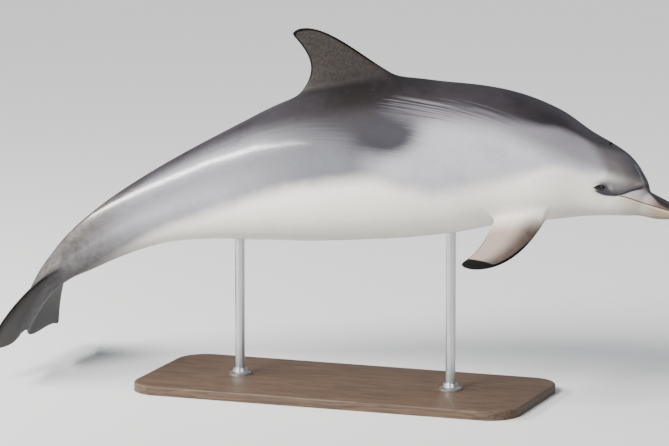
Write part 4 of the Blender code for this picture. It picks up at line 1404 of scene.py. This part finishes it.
stand = {
    "cornerRadius": 0.10,
    "cornerSteps": 24,
    "boardSharp": 50,  # degrees over which an edge stays sharp
    "latheSharp": 35,
    "bevel": 0.006,
    "bevelSteps": 5,
    "rodSides": 64,
    "rodChamfer": 0.001,
    "boreGap": 0.0003,
    "collar": ((0.036, 0.0), (0.036, 0.006), (0.025, 0.010), (0.022, 0.022)),
    "screwRing": 0.0305,
    "screwRadius": 0.0030,
    "screwHeight": 0.0022,
    "screwCount": 4,
    "screwSides": (20, 10),
}


def meshObject(name, shape, material, sharp):
    mesh = bpy.data.meshes.new(name)
    bmesh.ops.recalc_face_normals(shape, faces=shape.faces)
    shape.to_mesh(mesh)
    shape.free()
    mesh.shade_smooth()
    mesh.set_sharp_from_angle(angle=math.radians(sharp))
    return addObject(name, mesh, material)


def makeBase(material):
    low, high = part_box("stand_base")
    radius = stand["cornerRadius"]
    shape = bmesh.new()
    rim = []
    for signX, signY, start in ((1, 1, 0), (-1, 1, 90), (-1, -1, 180), (1, -1, 270)):
        for k in range(stand["cornerSteps"] + 1):
            turn = math.radians(start + 90 * k / stand["cornerSteps"])
            x = (high.x if signX > 0 else low.x) - signX * radius + radius * math.cos(turn)
            y = (high.y if signY > 0 else low.y) - signY * radius + radius * math.sin(turn)
            rim.append(shape.verts.new((x, y, low.z)))
    bottom = shape.faces.new(rim)
    grown = bmesh.ops.extrude_face_region(shape, geom=[bottom])
    lifted = [item for item in grown["geom"] if isinstance(item, bmesh.types.BMVert)]
    bmesh.ops.translate(shape, verts=lifted, vec=(0, 0, high.z - low.z))
    bmesh.ops.recalc_face_normals(shape, faces=shape.faces)
    topEdges = [edge for edge in shape.edges if all(abs(v.co.z - high.z) < 1e-6 for v in edge.verts)]
    rounding = {"offset": stand["bevel"], "segments": stand["bevelSteps"], "profile": 0.5}
    bmesh.ops.bevel(shape, geom=topEdges, affect="EDGES", **rounding)
    return meshObject("standBoard", shape, material, stand["boardSharp"])


def lathe(name, profile, x, closed, material):
    # turns a profile of (radius, height) round an upright line through x
    shape = bmesh.new()
    sides = stand["rodSides"]
    rings = []
    for k in range(sides):
        turn = 2 * math.pi * k / sides
        rings.append([shape.verts.new((x + r * math.cos(turn), r * math.sin(turn), z)) for r, z in profile])
    last = len(profile) if closed else len(profile) - 1
    for k in range(sides):
        here, after = rings[k], rings[(k + 1) % sides]
        for i in range(last):
            j = (i + 1) % len(profile)
            shape.faces.new((here[i], here[j], after[j], after[i]))
    if not closed:
        shape.faces.new([ring[0] for ring in rings])
        shape.faces.new([ring[-1] for ring in rings])
    return meshObject(name, shape, material, stand["latheSharp"])


def makeRod(place, material):
    low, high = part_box(f"stand_rod_{place}")
    radius = (high.x - low.x) / 2
    x = (high.x + low.x) / 2
    cut = stand["rodChamfer"]
    profile = ((radius - cut, low.z), (radius, low.z + cut), (radius, high.z - cut), (radius - cut, high.z))
    return lathe(f"rod{place.capitalize()}", profile, x, False, material), x, radius


def makeCollar(place, x, bore, material):
    low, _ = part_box(f"stand_collar_{place}")
    steps = [(radius, low.z + height) for radius, height in stand["collar"]]
    profile = [(bore, low.z), *steps, (bore, steps[-1][1])]
    return lathe(f"collar{place.capitalize()}", profile, x, True, material)


def makeScrews(centres, top, material):
    # a Geometry Nodes tree sets one domed screw on each point of a ring round every collar
    tree = bpy.data.node_groups.new("screwRing", "GeometryNodeTree")
    tree.interface.new_socket("Geometry", in_out="INPUT", socket_type="NodeSocketGeometry")
    sockets = []
    for name, kind, value in (
        ("Ring radius", "NodeSocketFloat", stand["screwRing"]),
        ("Screw radius", "NodeSocketFloat", stand["screwRadius"]),
        ("Screw height", "NodeSocketFloat", stand["screwHeight"]),
        ("Count", "NodeSocketInt", stand["screwCount"]),
        ("Material", "NodeSocketMaterial", material),
    ):
        socket = tree.interface.new_socket(name, in_out="INPUT", socket_type=kind)
        sockets.append((socket.identifier, value))
    tree.interface.new_socket("Geometry", in_out="OUTPUT", socket_type="NodeSocketGeometry")
    nodes = Nodes(tree)
    given = nodes.add("NodeGroupInput").outputs

    def geometry(kind, **inputs):
        return nodes.add(f"GeometryNode{kind}", inputs).outputs[0]

    def instances(points, instance):
        placed = geometry("InstanceOnPoints", Points=points, Instance=instance)
        return geometry("RealizeInstances", Geometry=placed)

    ring = geometry("MeshCircle", Vertices=given["Count"], Radius=given["Ring radius"])
    turned = geometry("Transform", Geometry=ring, Rotation=(0, 0, math.pi / 4))
    around = instances(given["Geometry"], turned)
    sides, rings = stand["screwSides"]
    head = geometry("MeshUVSphere", Segments=sides, Rings=rings, Radius=given["Screw radius"])
    flat = nodes.calc("DIVIDE", given["Screw height"], given["Screw radius"])
    domed = geometry("Transform", Geometry=head, Scale=nodes.vector(1.0, 1.0, flat))
    heads = instances(around, domed)
    painted = geometry("SetMaterial", Geometry=heads, Material=given["Material"])
    nodes.add("NodeGroupOutput", {"Geometry": painted})

    mesh = bpy.data.meshes.new("screwCentres")
    mesh.from_pydata([(x, 0.0, top) for x in centres], [], [])
    carrier = addObject("screwCarrier", mesh)
    modifier = carrier.modifiers.new("screws", "NODES")
    modifier.node_group = tree
    for identifier, value in sockets:
        modifier[identifier] = value
    bpy.context.view_layer.update()
    made = carrier.evaluated_get(bpy.context.evaluated_depsgraph_get())
    plain = bpy.data.meshes.new_from_object(made)
    plain.name = "collarScrews"
    plain.shade_smooth()
    bpy.data.objects.remove(carrier, do_unlink=True)
    return addObject("collarScrews", plain)


woodLook = {
    "light": (82, 65, 51),
    "dark": (64, 50, 41),
    "pore": (36, 28, 24),
    "grainScale": (0.9, 14.0, 14.0),
    "wander": (1.4, 4.0),
    "rings": 9.0,
    "band": (0.0, 0.9),
    "poreScale": (6.0, 320.0, 320.0),
    "pores": (1.0, 3.0, 0.6),
    "poreShare": (0.52, 0.72, 0.0, 0.7),
    "roughness": (0.50, 0.16),  # least, and what the pores add
    "bump": (0.15, 0.001),
    "specular": 0.30,
}


def makeWoodMaterial():
    material, nodes = newMaterial("stainedBoard")
    place = nodes.objectPlace()
    wander = nodes.noise(nodes.stretched(place, woodLook["grainScale"]), *woodLook["wander"])
    pores = nodes.noise(nodes.stretched(place, woodLook["poreScale"]), *woodLook["pores"])
    band = nodes.spread(nodes.calc("FRACT", nodes.times(wander, woodLook["rings"])), *woodLook["band"])
    colour = nodes.mix(band, tone(*woodLook["dark"]), tone(*woodLook["light"]))
    least, gain = woodLook["roughness"]
    nodes.shade({
        "Base Color": nodes.mix(nodes.spread(pores, *woodLook["poreShare"]), colour, tone(*woodLook["pore"])),
        "Roughness": nodes.timesPlus(pores, gain, least),
        "Normal": nodes.bump(*woodLook["bump"], pores),
        "Specular IOR Level": woodLook["specular"],
    })
    return material


steelLook = {
    "light": (206, 206, 208),
    "dark": (176, 177, 180),
    "brushScale": (30.0, 30.0, 1400.0),
    "brush": (1.0, 4.0, 0.6),
    "smudgeScale": 18.0,
    "roughness": (0.20, 0.12, 0.10),  # least, and what brush marks and smudges add
    "bump": (0.08, 0.0003),
}


def makeSteelMaterial():
    material, nodes = newMaterial("brushedSteel")
    place = nodes.objectPlace()
    brushed = nodes.noise(nodes.stretched(place, steelLook["brushScale"]), *steelLook["brush"])
    least, brushGain, smudgeGain = steelLook["roughness"]
    rough = nodes.timesPlus(brushed, brushGain, least)
    nodes.shade({
        "Base Color": nodes.mix(brushed, tone(*steelLook["dark"]), tone(*steelLook["light"])),
        "Roughness": nodes.timesPlus(nodes.noise(place, steelLook["smudgeScale"]), smudgeGain, rough),
        "Normal": nodes.bump(*steelLook["bump"], brushed),
        "Metallic": 1.0,
    })
    return material


studio = {
    "floorSize": 240.0,
    "floorTone": (206, 207, 208),
    "floorNoise": (1.2, 3.0),
    "floorShade": 0.97,
    "floorRoughness": 0.75,
    "worldTone": (232, 238, 246),
    "worldStrength": 0.33,
    "keyDirection": (-0.30, -0.74, 0.60),
    "keyStrength": 6.9,
    "keySoftness": 26.0,  # degrees across
    "keyTone": (1.0, 0.97, 0.93),
    # name, direction to the light from the animal, distance, width, height, power, colour
    "lamps": (
        ("fill", (0.70, -0.66, 0.28), 7.0, 4.0, 4.0, 150.0, (0.93, 0.96, 1.0)),
        ("rim", (0.35, 0.80, 0.50), 6.0, 3.0, 3.0, 55.0, (0.86, 0.93, 1.0)),
        ("strip", (-0.88, -0.31, 0.38), 5.0, 5.0, 0.3, 600.0, (1.0, 0.98, 0.95)),
    ),
    "middle": (0.0, 0.0, 0.75),
}

camera = {
    "azimuth": 20.0,
    "elevation": 10.0,
    "distance": 16.0,
    "besideBody": -0.0843,
    "belowBody": 0.2005,
    "bodyPlace": 1.1,
    "lens": 269.7,
    "sensor": 36.0,
    "clipEnd": 200.0,
}


def makeFloor():
    material, nodes = newMaterial("paleFloor")
    shade = nodes.noise(nodes.objectPlace(), *studio["floorNoise"])
    base = tone(*studio["floorTone"])
    darker = (*[c * studio["floorShade"] for c in base[:3]], 1.0)
    nodes.shade({"Base Color": nodes.mix(shade, darker, base), "Roughness": studio["floorRoughness"]})
    shape = bmesh.new()
    bmesh.ops.create_grid(shape, x_segments=1, y_segments=1, size=studio["floorSize"] / 2)
    meshObject("floor", shape, material, 30)


def placeLight(name, light, away, distance):
    obj = addObject(name, light)
    obj.location = Vector(studio["middle"]) + away * distance
    obj.rotation_euler = away.to_track_quat("Z", "Y").to_euler()


def makeLights():
    world = bpy.data.worlds.new("studioAir")
    bpy.context.scene.world = world
    world.use_nodes = True
    background = world.node_tree.nodes["Background"]
    background.inputs["Color"].default_value = tone(*studio["worldTone"])
    background.inputs["Strength"].default_value = studio["worldStrength"]
    key = bpy.data.lights.new("key", "SUN")
    key.energy = studio["keyStrength"]
    key.angle = math.radians(studio["keySoftness"])
    key.color = studio["keyTone"]
    placeLight("key", key, Vector(studio["keyDirection"]).normalized(), 6.0)
    for name, direction, distance, width, tall, power, colour in studio["lamps"]:
        lamp = bpy.data.lights.new(name, "AREA")
        lamp.shape = "ELLIPSE"
        lamp.size = width
        lamp.size_y = tall
        lamp.energy = power
        lamp.color = colour
        placeLight(name, lamp, Vector(direction).normalized(), distance)


def makeCamera():
    turn = math.radians(camera["azimuth"])
    tilt = math.radians(camera["elevation"])
    back = Vector((math.sin(turn) * math.cos(tilt), -math.cos(turn) * math.cos(tilt), math.sin(tilt)))
    right = Vector((math.cos(turn), math.sin(turn), 0.0))
    up = back.cross(right)
    aim = Vector(fromBody(camera["bodyPlace"], 0.0, 0.0))
    aim += right * camera["besideBody"] - up * camera["belowBody"]
    data = bpy.data.cameras.new("studioCamera")
    data.lens = camera["lens"]
    data.sensor_width = camera["sensor"]
    data.clip_end = camera["clipEnd"]
    obj = addObject("studioCamera", data)
    obj.location = aim + back * camera["distance"]
    obj.rotation_euler = back.to_track_quat("Z", "Y").to_euler()
    bpy.context.scene.camera = obj


makeCamera()
makeLights()
makeFloor()
print("camera, lights and floor made")

skin = buildSkin()
print("skin shaped:", len(skin.points), "points,", len(skin.faces), "faces")
dolphin = skinObject(skin, makeSkinMaterial())
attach(dolphin, "root")
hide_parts("beak_upper", "lower_jaw", "head", "thorax", "abdomen", "tail_stock", "dorsal_fin",
            "flipper_left", "flipper_right", "fluke_left", "fluke_right")
print("skin marked and placed")

eyeMaterial = makeEyeMaterial()
for hand, node in ((1, "eye_left"), (-1, "eye_right")):
    ball = makeEyeball(hand, eyeMaterial)
    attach(ball, "root")
    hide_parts(node)
print("eyes set")

board = makeBase(makeWoodMaterial())
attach(board, "root")
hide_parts("stand_base")
steel = makeSteelMaterial()
rodCentres = []
for place in ("front", "rear"):
    rod, rodX, rodRadius = makeRod(place, steel)
    collar = makeCollar(place, rodX, rodRadius + stand["boreGap"], steel)
    rodCentres.append(rodX)
    for piece, node in ((rod, f"stand_rod_{place}"), (collar, f"stand_collar_{place}")):
        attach(piece, "root")
        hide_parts(node)
screws = makeScrews(rodCentres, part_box("stand_collar_front")[0].z + stand["collar"][1][1], steel)
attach(screws, "root")
print("stand made")
